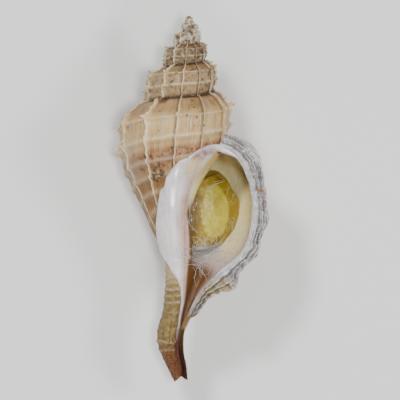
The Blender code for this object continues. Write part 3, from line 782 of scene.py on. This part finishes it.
def makeHorn():
    material, tree, shader = newMaterial("horn", 0.30, coat=0.15, soft=0.2, softRadius=(0.0006, 0.0004, 0.0001))
    mask, between, tones = partial(stored, tree), partial(spread, tree), hornTones
    rings = placeGroup(tree, growthLines, {"Turn": mask("ring"), "Point": mask("round"),
                                           "Fineness": 7.0, "Stretch": 0.8})
    spots = placeGroup(tree, mottle, {"Scale": 0.7})
    fine = spots["Fine"]
    colour = layers(tree, tones["amber"], tones, (
        ("bright", mask("ovalMask")),
        ("amber", spots["Soft"], 0.4),
        ("deep", between(fine, 0.45, 0.0, 0.0, 0.2)),
        ("film", between(fine, 0.6, 1.0, 0.0, 0.22)),
        # painted shade on the left side and under the top fold
        ("dark", mask("darkMask")),
        ("edge", between(mask("ring"), 0.93, 1.0, 0.0, 0.6)),
        ("dark", between(rings["Fine"], 0.4, 0.0), 0.18),
        ("skirt", mask("skirtMask"), 0.8),
    ))
    shader.inputs["Specular IOR Level"].default_value = 0.3
    relief = mixed(tree, (rings["Fine"], 0.4), (fine, 1.0))
    dress(tree, shader, colour, relief, 0.00004, between(fine, 0, 1, 0.30, 0.5))
    return material


def makeCotton():
    material, tree, shader = newMaterial("cottonFibre", 0.55, soft=0.3)
    spots = placeGroup(tree, mottle, {"Scale": 2.0})
    colour = paint(tree, spots["Fine"], tone(240, 240, 238), tone(206, 202, 190))
    shader.inputs["Sheen Weight"].default_value = 0.3
    dress(tree, shader, colour, spots["Grain"], 0.00003)
    return material


def makeFloor():
    material, tree, shader = newMaterial("paleFloor", 0.75)
    noise = addNode(tree, "ShaderNodeTexNoise", {"Scale": 60.0, "Detail": 3.0}).outputs["Fac"]
    colour = paint(tree, spread(tree, noise, 0.3, 0.7), tone(226, 226, 225), tone(229, 229, 228))
    tree.links.new(colour, shader.inputs["Base Color"])
    return material


chalk, porcelain, horn, cottonWhite = makeChalk(), makePorcelain(), makeHorn(), makeCotton()
thinSheet, ridgeSheet = makeSheet("thinLipSheet", 0.0), makeSheet("lipRidge", 0.8)
print("materials made")

# the spire and the last turn
turnColumns = bladeColumns()
spireRows = np.linspace(0, lowerSuture, 71)
bodyRows = np.concatenate([np.linspace(0, 10.8, 136), np.linspace(10.8, 19, 120)[1:]])


def sutureRow(beforeLip):
    return outside(beforeLip - 360, lowerSuture)[0]


def turnGrid(columns, rows):
    before, point = np.meshgrid(columns, rows, indexing="ij")
    spots, values = outside(before, point)
    spots[:, 0] = np.where((columns < 360 - 360 * whorl["turns"])[:, None], apexSpot, sutureRow(columns))
    return spots, values


spireTurns = [turnColumns[:-1][:: (1 if t > -3 else 2)] + 360 * t for t in range(1 - whorl["turns"], 0)]
spireColumns = np.concatenate([*spireTurns, [-360.0]])
spire = Surface()
spire.add(*turnGrid(spireColumns, spireRows))
spire.build("spire", chalk, "shell")
lastTurn = Surface()
lastTurn.add(*turnGrid(turnColumns, bodyRows))
lastTurn.build("lastTurn", chalk, "shell")

# the worn bulbs of the first whorls: middle and half sizes in the front view, and depth in millimetres
bulbs = ((189.2, 22.4, 4.5, 6.4, 0.0), (194.4, 27.8, 4.3, 4.2, 0.1), (187.6, 30.5, 5.4, 4.8, 0.0),
         (191.5, 34.5, 7.8, 4.6, 0.1), (182.5, 36.0, 4.6, 3.6, 0.3))
bulb = Surface()
around, rise = np.meshgrid(np.linspace(0, 2 * np.pi, 65)[:-1], np.linspace(-np.pi / 2, np.pi / 2, 40),
                           indexing="ij")
for number, (x, y, halfX, halfY, depth) in enumerate(bulbs):
    midX, midY = fromPhoto(x, y)
    rough = 1 + 0.16 * latticeNoise(around / (2 * np.pi) * 9, rise * 3 + 20, 16 + number, wrap=9) * np.cos(rise)
    rough += 0.08 * latticeNoise(around / (2 * np.pi) * 23, rise * 8 + 40, 26 + number, wrap=23) * np.cos(rise)
    ball = np.stack([midX + halfX * photoScale * rough * np.cos(around) * np.cos(rise),
                     midY + halfY * photoScale * rough * np.sin(rise),
                     -0.05 - depth + halfX * photoScale * rough * np.sin(around) * np.cos(rise)], -1)
    bulb.add(ball, {"apexMask": 1.0, "turnAngle": around * 3 - 150, "sectionPoint": rise,
                    "crossMask": smoothStep(1.0, 1.12, rough)}, wrapRows=True, flip=True)
bulb.build("apexBulbs", chalk, "shell")

# the hollow behind the mouth: the outer wall's lining, and the columella
hollow = {
    "tailEnd": 62,
    "floor": 10.9,
    "top": 0.9,
    # the brown groove of the canal, in the front view; its top part, below the operculum, is painted shade behind the
    # cotton
    "grooveAndShade": ((187, 246), (206, 248), (209, 258), (205, 266), (200, 278), (197.5, 286), (193, 299), (187.5, 314), (185, 330),
               (184, 345), (186, 358), (188, 379), (176, 379), (174, 362), (175.5, 345), (178, 330), (180, 315),
               (184, 300), (185.5, 288), (187, 274)),
}


def wallAt(point):
    return whorl["wall"] + (whorl["canalWall"] - whorl["wall"]) * clamp((point - 12) / 3)


def hollowRing(back, outerCount, innerCount):
    # (angle, radius, down) round the hollow, for each number of degrees behind the lip
    back = np.asarray(back, float)[:, None]
    tail = clamp(1 - back / hollow["tailEnd"]) ** 1.3
    floor = hollow["floor"] + (points[-1] - hollow["floor"]) * tail
    share = np.linspace(0, 1, outerCount)[None, :]
    point = hollow["top"] + (floor - hollow["top"]) * share
    angle = trueAngle(-back + 0 * share, point)
    at = section(angle, point) - outward(angle, point) * wallAt(point)[..., None]
    outer = np.concatenate([angle[..., None], at], -1)
    innerAngle = angle[:, -1:] - 360
    first = lowerSuture + 0.35
    search = np.linspace(first, 19, 120)[None, :]
    downs = section(innerAngle, search)[..., 1]
    end = np.array([np.interp(outer[k, -1, 2], downs[k], search[0]) for k in range(len(back))])[:, None]
    innerPoint = end + (first - end) * np.arange(1, innerCount + 1)[None, :] / (innerCount + 1)
    innerAt = section(innerAngle, innerPoint) - outward(innerAngle, innerPoint) * 0.04
    inner = np.concatenate([np.broadcast_to(angle[:, -1:, None], innerAt.shape[:2] + (1,)), innerAt], -1)
    return np.concatenate([outer, inner], 1), np.concatenate([point, innerPoint], 1)


ringBacks = np.concatenate([np.linspace(0, 20, 21), np.linspace(20, 120, 51)[1:], np.linspace(120, 300, 46)[1:]])
ring, ringPoint = hollowRing(ringBacks, 150, 60)
liningSpots = place(ring[..., 0], ring[..., 1], ring[..., 2])
back = ringBacks[:, None] + 0 * ringPoint
lining = Surface()
lining.add(liningSpots, {
    "turnAngle": -back / 10, "sectionPoint": ringPoint,
    "mouthMask": smoothStep(4, 20, back) * 0.55,
    "deepMask": smoothStep(16, 44, back + 4 * latticeNoise(ringPoint * 1.4, back / 9, 31))
                * smoothStep(10.6, 9.0, ringPoint),
    "ceilingMask": smoothStep(4.6, 2.8, ringPoint),
    # the brown of the canal groove, and painted shade below the operculum
    "grooveMask": np.maximum(np.maximum(inPatch(liningSpots, hollow["grooveAndShade"], 0.30),
                                        smoothStep(12.8, 13.6, ringPoint)),
                             smoothStep(14, 40, back) * smoothStep(10.6, 11.6, ringPoint)),
    "tintMask": inPatch(liningSpots, shield["tint"], 0.3),
}, wrapColumns=True, flip=True)
lining.build("lining", porcelain, "shell")

# the lip's face: thin wavy sheets, one over another, from the mouth's rim outwards
lip = {
    "points": np.linspace(0.0, 18.9, 560),
    "steps": 22,
    # name, inner edge, outer edge as a share of the reach plus millimetres,
    # lift, fold, thickness, curl of the edge
    "sheets": (
        ("lipSheetOuter", -0.35, 1.00, 0.00, 0.02, 0.17, 0.09, 0.02),
        ("lipSheetMiddle", -0.40, 0.58, 0.05, 0.12, 0.14, 0.09, 0.12),
        ("lipRidge", -0.44, 0.12, 0.16, 0.26, 0.11, 0.12, 0.20),
    ),
    # by sheet: width of the painted shade line in its crease, and how strong the painted shade is low down, where the
    # sheet is glassy
    "creaseWidth": (0.12, 0.09, 0.07),
    "lowShade": (1, 0.5, 0),
    # coloured places in the front view, with the softness of their edge
    "patches": (
        ("stainMask", ((255, 187), (262, 189), (267, 190), (266.5, 197), (263, 194), (257, 191)), 0.12),
        ("yellowMask", ((196, 287), (215, 276), (231, 281), (232, 290), (206, 300), (197, 305)), 0.5),
    ),
}


def onLip(point, off, forward):
    # a place on the lip's face: off the whorl's line by so much, and towards the viewer
    angle = trueAngle(0 * point, point)
    at = section(angle, point) + outward(angle, point) * off[..., None]
    turn = np.radians(angle)
    towards = np.stack([-np.sin(turn), 0 * turn, np.cos(turn)], -1)
    return place(angle, at[..., 0], at[..., 1]) + towards * forward[..., None]


def lipSheetGrid(number, inner, share, extra, lift, fold, thick, curl):
    point = lip["points"][:, None]
    across = np.linspace(0, 1, lip["steps"])[None, :]
    reach = flangeShape(0 * point, point)
    fade = smoothStep(16.2, 14.5, point)
    wander = latticeNoise(point * 1.7, 0.5, 40 + number) + 0.6 * latticeNoise(point * 5.3, 0.5, 50 + number)
    edge = reach * share + (extra + (0.13 * wander * (share < 1))) * fade
    edge = np.maximum(edge, -0.05)
    off = inner + (edge - inner) * across + 0 * point
    folds = np.sin(2 * np.pi * point / 0.78 + 2.2 * latticeNoise(point * 0.9, 3.5, 60 + number))
    folds = folds + 0.6 * latticeNoise(point * 4.0, across * 2.0, 70 + number)
    forward = lift * smoothStep(0, 0.5, across) + fold * folds * across**1.5 * fade
    forward = (forward + curl * smoothStep(0.72, 1.0, across)) * fade + 0.03
    forward += 0.018 * latticeNoise(across * 9 + wander, point * 1.1, 80 + number) * fade
    body = thick * (1 - 0.75 * smoothStep(0.7, 1.0, across)) * np.ones(point.shape)
    front, rear = onLip(point + 0 * off, off, forward), onLip(point + 0 * off, off, forward - body)
    # painted shade: the dark line in the crease under the next sheet
    crease = (0.56 * reach + 0.10, 0.12 * reach + 0.24, 0.02 + 0 * reach)[number] + 0.08 * wander
    lowShade = lip["lowShade"][number]
    masks = {
        "across": across + 0 * point + 0.7 * number,
        "sectionPoint": point + 0 * across,
        "edgeMask": smoothStep(0.90, 0.99, across) * (0.65 + 0.35 * latticeNoise(point * 7, 0.5, 90)),
        "shadeMask": 0.9 * hump(off, crease, lip["creaseWidth"][number]) * fade,
        "lowMask": smoothStep(14.5, 15.6, point) + 0 * across,
        # painted shade: the outer sheets darker low down, across the middle of the sheet
        "glassMask": smoothStep(9.8, 10.6, point) * smoothStep(0.3, 0.6, across) * lowShade * fade,
    }
    masks = {key: np.concatenate([value, value[:, ::-1]], 1) for key, value in masks.items()}
    spots = np.concatenate([front, rear[:, ::-1]], 1)
    for key, outline, soft in lip["patches"]:
        masks[key] = inPatch(spots, outline, soft)
    return spots, masks


lipSheets = []
for number, (name, *measures) in enumerate(lip["sheets"]):
    sheet = Surface()
    sheet.add(*lipSheetGrid(number, *measures), wrapColumns=True)
    sheet.build(name, ridgeSheet if name == "lipRidge" else thinSheet, "shell")
    lipSheets.append(sheet)

# the smooth rolled rim between the lining and the sheets
rimPoint = np.linspace(0.9, 18.9, 420)[:, None]
roll = np.linspace(0, 1, 16)[None, :]
narrow = 1 - 0.55 * smoothStep(13.0, 15.0, rimPoint)
rolled = roll * np.pi * 0.62
rimOff = -wallAt(rimPoint) - 0.02 + (0.02 + 0.9 * wallAt(rimPoint)) * narrow * (1 - np.cos(rolled)) / 1.37
rimForward = -0.5 + 0.66 * np.sin(rolled) * (1 - 0.35 * smoothStep(12, 14.5, rimPoint))
rim = Surface()
rim.add(onLip(rimPoint + 0 * roll, rimOff, rimForward), {
    "turnAngle": 0.1 * roll, "sectionPoint": rimPoint,
    "mouthMask": 0.2 + 0.35 * smoothStep(0.6, 0.0, roll),
    "grooveMask": smoothStep(13.2, 14.4, rimPoint + 0.5 * roll) * 0.9,
})
rim.build("lipRim", porcelain, "shell")
print("lip done")

# the inner lip, from its free edge over the columella into the mouth
innerColumns = np.concatenate([np.linspace(-520, -400, 40), np.linspace(-400, -215, 220)[1:]])
innerRows = np.linspace(5.9, 18.6, 190)
innerBefore, innerRow = np.meshgrid(innerColumns, innerRows, indexing="ij")
innerAngle = innerBefore + whorl["sutureEnd"]
innerPoint = np.maximum(innerRow, 5.9 + 1.15 * smoothStep(-322, -334, innerAngle))
innerAt = section(innerAngle, innerPoint)
innerNormal = outward(innerAngle, innerPoint)
innerSpot = place(innerAngle, innerAt[..., 0], innerAt[..., 1])
inner = inPatch(innerSpot, shield["outline"], 0.001)
rising = inPatch(innerSpot, shield["outline"], shield["rise"])
covered = np.where(innerAngle < -334, 1.0, clamp(2 * rising - 1))
covered = np.where((innerAngle < -334) & (innerPoint < 7.02), 0.0, covered)
thick = shield["thick"] * np.sqrt(covered) * smoothStep(-460, -345, innerAngle) + 0.03
thick *= 0.45 + 0.55 * smoothStep(7.2, 9.0, innerPoint)
thick += 0.03 * latticeNoise(innerAngle / 7, innerPoint * 0.25, 33) * covered
thick = np.where((covered <= 0) & (innerAngle > -334), -0.15, thick)
innerAt = innerAt + innerNormal * thick[..., None]
innerSpots = place(innerAngle, innerAt[..., 0], innerAt[..., 1])
innerWhite = inPatch(innerSpots, shield["white"], 0.18)
innerLip = Surface()
innerLip.add(innerSpots, {
    "turnAngle": innerBefore / 10, "sectionPoint": innerPoint,
    "mouthMask": inPatch(innerSpots, shield["pink"], 0.55),
    "beigeMask": inPatch(innerSpots, shield["beige"], 0.5),
    "deepMask": (1 - innerWhite) * smoothStep(12, 10, innerPoint),
    "ceilingMask": smoothStep(-19.5, -16.5, innerSpots[..., 1]),
    "grooveMask": (1 - innerWhite) * smoothStep(10.4, 11.4, innerPoint),
    "tintMask": inPatch(innerSpots, shield["tint"], 0.35),
})
innerLip.build("innerLip", porcelain, "shell")
print("inner lip done")

# the operculum, a thin plate of horn
operculum = {
    "angle": -25,
    "middle": (212.3, 209),
    # its edge, and the brighter oval on it as middle and half sizes, in the front view
    "edge": ((208, 175), (198, 180), (195, 186), (191.7, 194.6), (188, 205.5), (187, 213.8), (187.9, 223), (189, 233),
             (191, 239), (195.5, 243.8), (203, 247), (209.5, 245.5), (214.6, 242.5), (222, 239.5), (227.4, 235.5),
             (231, 230.5), (234.8, 225), (237, 217), (238.2, 207.4), (238.2, 201), (236.3, 193.4), (233, 187),
             (229.8, 180.6), (226, 173.6), (221, 170), (214.6, 171)),
    "oval": (213.5, 210, 13.5, 28),
    "thick": 0.30,
    "dome": 0.45,
}


def offPlane(angle, radius, down, rise):
    turn = np.radians(angle)
    forward = np.array([-np.sin(turn), 0, np.cos(turn)])
    return place(angle, radius, down) + forward * np.asarray(rise)[..., None]


def operculumGrid(side):
    share, turn = np.meshgrid(np.linspace(0, 1.25, 112), np.linspace(0, 2 * np.pi, 241)[:-1], indexing="ij")
    skirt = np.maximum(share - 1, 0)
    share = np.minimum(share, 1)
    edge = np.array(operculum["edge"]) - operculum["middle"]
    way = np.unwrap(np.arctan2(edge[:, 1], edge[:, 0]))
    order = np.argsort(way % (2 * np.pi))
    reach = np.interp(turn, (way % (2 * np.pi))[order], np.hypot(*edge.T)[order], period=2 * np.pi)
    reach = (np.roll(reach, 3, axis=1) + reach + np.roll(reach, -3, axis=1)) / 3
    reach *= 1 + 0.012 * latticeNoise(turn / (2 * np.pi) * 40, 0.5, 35, wrap=40)
    photoX = operculum["middle"][0] + reach * (share + 0.45 * skirt) * np.cos(turn)
    photoY = operculum["middle"][1] + reach * (share + 0.45 * skirt) * np.sin(turn)
    x, y = fromPhoto(photoX, photoY)
    down = -y
    bendX = smoothRead([a[0] for a in axisBend], [a[1] for a in axisBend], down)
    radius = (x - bendX) / math.cos(math.radians(operculum["angle"]))
    ovalX, ovalY, halfX, halfY = operculum["oval"]
    oval = np.hypot((photoX - ovalX) / halfX, (photoY - ovalY) / halfY)
    swirl = latticeNoise(turn / (2 * np.pi) * 8, share * 2, 36, wrap=8)
    crumple = latticeNoise(x * 2.3, y * 2.3, 38) + 0.5 * latticeNoise(x * 5.1, y * 5.1, 39)
    deep = 5.5 * (1 - 0.85 * clamp(1.6 * np.cos(turn - 0.5)))
    rise = operculum["dome"] * (1 - share**2) + side * operculum["thick"] / 2 * (1 - 0.7 * share**6)
    rise -= deep * skirt
    rise += 0.10 * hump(oval, 0.95, 0.12) * (0.6 + 0.5 * swirl)
    rise += 0.004 * np.sin(oval * 34 + 2.5 * swirl) * smoothStep(0.15, 0.5, oval) + 0.035 * crumple * share
    spots = offPlane(operculum["angle"], radius, down, rise)
    # painted shade: a shadow under the fold at the top, and the darker left side
    fold = np.exp(-(((photoX - 219) / 6) ** 2) - ((photoY - 174.5) / 3) ** 2)
    shadedSide = smoothStep(202, 192, photoX + 3 * swirl) * smoothStep(178, 190, photoY)
    masks = {"ring": share, "round": turn * 2, "ovalMask": smoothStep(1.12, 0.9, oval + 0.08 * crumple),
             "skirtMask": smoothStep(0.02, 0.12, skirt), "darkMask": np.maximum(shadedSide, 0.8 * fold)}
    return spots, masks


plate = Surface()
front, frontMasks = operculumGrid(1)
rear, rearMasks = operculumGrid(-1)
plateMasks = {key: np.concatenate([frontMasks[key], rearMasks[key][::-1]]) for key in frontMasks}
plate.add(np.concatenate([front, rear[::-1]]), plateMasks, wrapColumns=True, flip=True)
plate.build("operculum", horn, "operculum")

# the cotton wad behind it
wadAngles = np.linspace(-40, -120, 50)
wadRing, wadPoint = hollowRing(whorl["sutureEnd"] - wadAngles, 100, 40)
outline = wadRing[..., 1:]
middle = outline.mean(axis=1, keepdims=True)
spreadOut = np.linalg.norm(outline - middle, axis=-1, keepdims=True)
lumps = 0.16 * latticeNoise(np.arange(140)[None, :] / 140 * 20, wadAngles[:, None] / 6, 37, wrap=20)
ends = smoothStep(-40, -50, wadAngles)[:, None, None] * 0.5 + 0.5
ends = ends * (1 - 0.6 * smoothStep(6.0, 4.0, wadPoint))[..., None]
outline = middle + (outline - middle) * (1 - 0.95 / spreadOut) * (0.74 + lumps[..., None] * 0.4) * ends
wad = Surface()
wad.add(place(wadAngles[:, None], outline[..., 0], outline[..., 1]), wrapColumns=True)
wad.build("cottonWad", cottonWhite, "cotton_wool")

# loose fibres, laid on what the viewer sees in the mouth
fibres = {
    "sides": 5,
    "stations": 26,
    # region in the front view (left, top, right, bottom), how many, length, heading in degrees, how curly
    "tufts": (
        ((191, 247, 216, 261), 60, (1.2, 3.6), 0, 0.9),
        ((198, 245, 213, 256), 60, (0.5, 1.8), 30, 1.9),
        ((210, 243, 232, 256), 36, (1.2, 3.4), 35, 0.7),
        ((192, 258, 208, 268), 12, (1.4, 2.8), -25, 1.0),
        ((230, 228, 239, 244), 18, (0.6, 1.8), 60, 1.2),
        ((210, 177, 232, 182), 5, (1.4, 2.8), 10, 0.6),
        ((189, 192, 192, 230), 5, (1.5, 3.5), 88, 0.3),
        ((196, 168, 206, 178), 6, (0.5, 1.2), 60, 1.0),
        ((231, 176, 238, 198), 6, (0.6, 1.8), 70, 0.8),
    ),
}
lookDown = [surface.tree() for surface in (lining, plate, innerLip, rim)]


def seenDepth(trees, x, y):
    # how near the viewer the surfaces come at a place in the front view
    hits = [tree.ray_cast(Vector((x, y, 30)), Vector((0, 0, -1)))[0] for tree in trees]
    return max((hit.z for hit in hits if hit is not None), default=None)


def tube(path, radius, sides):
    path = np.asarray(path)
    along = np.gradient(path, axis=0)
    along /= np.linalg.norm(along, axis=1, keepdims=True)
    side = np.cross(along, [0.13, 0.21, 0.97])
    side /= np.linalg.norm(side, axis=1, keepdims=True)
    other = np.cross(along, side)
    turn = np.arange(sides) / sides * 2 * np.pi
    thin = (radius * (1 - 0.8 * np.abs(np.linspace(-1, 1, len(path))) ** 6))[:, None, None]
    ring = side[:, None] * np.cos(turn)[None, :, None] + other[:, None] * np.sin(turn)[None, :, None]
    return path[:, None] + ring * thin


# the smooth ridge that joins the outer lip's rim and the inner lip over the mouth's top corner
bridge = {
    # (x, y) in the front view, and radius in millimetres
    "path": ((185, 160.5, .05), (192, 155.5, .10), (199, 151.2, .15), (206, 148.5, .22), (213, 147.2, .30),
             (219.5, 148.4, .40), (225.5, 150.8, .38), (231, 153.4, .28), (236, 156.8, .16), (240.5, 160.8, .08)),
    "sink": 0.45,
    "drop": 1.2,
    "smoothing": 60,
    "sides": 24,
}
stations = np.linspace(0, 9, 90)
bridgePath = smoothRead(np.arange(10), np.array(bridge["path"]), stations)
bridgeX, bridgeY = fromPhoto(bridgePath[:, 0], bridgePath[:, 1])
bridgeRadius = bridgePath[:, 2]
under = [surface.tree() for surface in (innerLip, rim, *lipSheets, lastTurn)]
heights = [seenDepth(under, x, y) for x, y in zip(bridgeX, bridgeY)]
heights = np.maximum(heights, np.median(heights) - bridge["drop"])  # not down into the mouth
for _ in range(bridge["smoothing"]):
    heights[1:-1] = (heights[:-2] + 2 * heights[1:-1] + heights[2:]) / 4
bridgeSpots = np.column_stack([bridgeX, bridgeY, heights - bridge["sink"] * bridgeRadius])
ridge = Surface()
ridge.add(tube(bridgeSpots, bridgeRadius, bridge["sides"]), {
    "turnAngle": 0.3, "sectionPoint": stations[:, None], "mouthMask": 0.15,
    "tintMask": 0.6 * smoothStep(4.5, 3.0, stations)[:, None],
}, wrapColumns=True)
ridge.build("lipBridge", porcelain, "shell")

chance = random.Random(14)
threads = Surface()
for (left, top, right, bottom), count, lengths, heading, curl in fibres["tufts"]:
    for _ in range(count):
        x, y = fromPhoto(chance.uniform(left, right), chance.uniform(top, bottom))
        length = chance.uniform(*lengths)
        way = math.radians(heading + chance.gauss(0, 28 if curl > 1 else 10) + chance.choice((0, 180)))
        bend, change = chance.gauss(0, 0.35) * curl, chance.gauss(0, 0.25) * curl
        height, phase = chance.uniform(0.05, 0.32), chance.uniform(0, 6.28)
        step = length / (fibres["stations"] - 1)
        path = []
        for k in range(fibres["stations"]):
            share = k / (fibres["stations"] - 1)
            path.append((x, y, seenDepth(lookDown, x, y)))
            way += (bend + change * math.sin(5 * share + phase)) * step * 2.2
            x, y = x + step * math.cos(way), y + step * math.sin(way)
        if any(spot[2] is None for spot in path):
            continue
        path = np.array(path)
        for _ in range(3):
            path[1:-1, 2] = (path[:-2, 2] + path[1:-1, 2] + path[2:, 2]) / 3
        arch = np.sin(np.linspace(0, np.pi, len(path)))
        path[:, 2] += 0.04 + height * arch
        threads.add(tube(path, chance.uniform(0.009, 0.021), fibres["sides"]), wrapColumns=True)
threads.build("cottonFibres", cottonWhite, "cotton_wool")
print("cotton done")

# floor, light and camera
studio = {
    "distance": 600,
    "frameWidth": 43.52,
    "centre": (2.72, -20.24),
}
floorMesh = bpy.data.meshes.new("floor")
floorMesh.from_pydata([(-2, -2, 0), (2, -2, 0), (2, 2, 0), (-2, 2, 0)], [], [(0, 1, 2, 3)])
floorMesh.materials.append(makeFloor())
floor = bpy.data.objects.new("floor", floorMesh)
floor.location.z = -0.0002
bpy.context.scene.collection.objects.link(floor)


def addLight(name, spot, aim, size, power):
    light = bpy.data.lights.new(name, "AREA")
    light.shape = "DISK"
    light.size = size
    light.energy = power
    lamp = bpy.data.objects.new(name, light)
    lamp.location = spot
    lamp.rotation_euler = (Vector(aim) - Vector(spot)).to_track_quat("-Z", "Y").to_euler()
    bpy.context.scene.collection.objects.link(lamp)


addLight("keyLight", (-0.12, 0.16, 0.26), (0, 0, 0.006), 0.06, 0.75)
addLight("fillLight", (0.20, 0.02, 0.22), (0, 0, 0.006), 0.07, 0.36)
addLight("lowLight", (0.02, -0.22, 0.20), (0, 0, 0.006), 0.05, 0.28)
addLight("frontLight", (0.015, -0.02, 0.40), (0.003, -0.002, 0.006), 0.05, 0.9)

world = bpy.data.worlds.new("studio")
world.use_nodes = True
world.node_tree.nodes["Background"].inputs["Color"].default_value = (1, 1, 1, 1)
world.node_tree.nodes["Background"].inputs["Strength"].default_value = 0.16
bpy.context.scene.world = world

camera = bpy.data.cameras.new("camera")
camera.sensor_width = 36
camera.lens = camera.sensor_width * studio["distance"] / studio["frameWidth"]
camera.clip_start, camera.clip_end = 0.01, 10
cameraObject = bpy.data.objects.new("camera", camera)
aimSpot = toRow(np.array([studio["centre"][0], studio["centre"][1], 0.0]))
right, up, away = layDown[:, 0], layDown[:, 1], layDown[:, 2]
cameraObject.matrix_world = Matrix([[*row] for row in np.vstack([
    np.column_stack([right, up, away, aimSpot + away * studio["distance"] / 1000]), [0, 0, 0, 1]])])
bpy.context.scene.collection.objects.link(cameraObject)
bpy.context.scene.camera = cameraObject
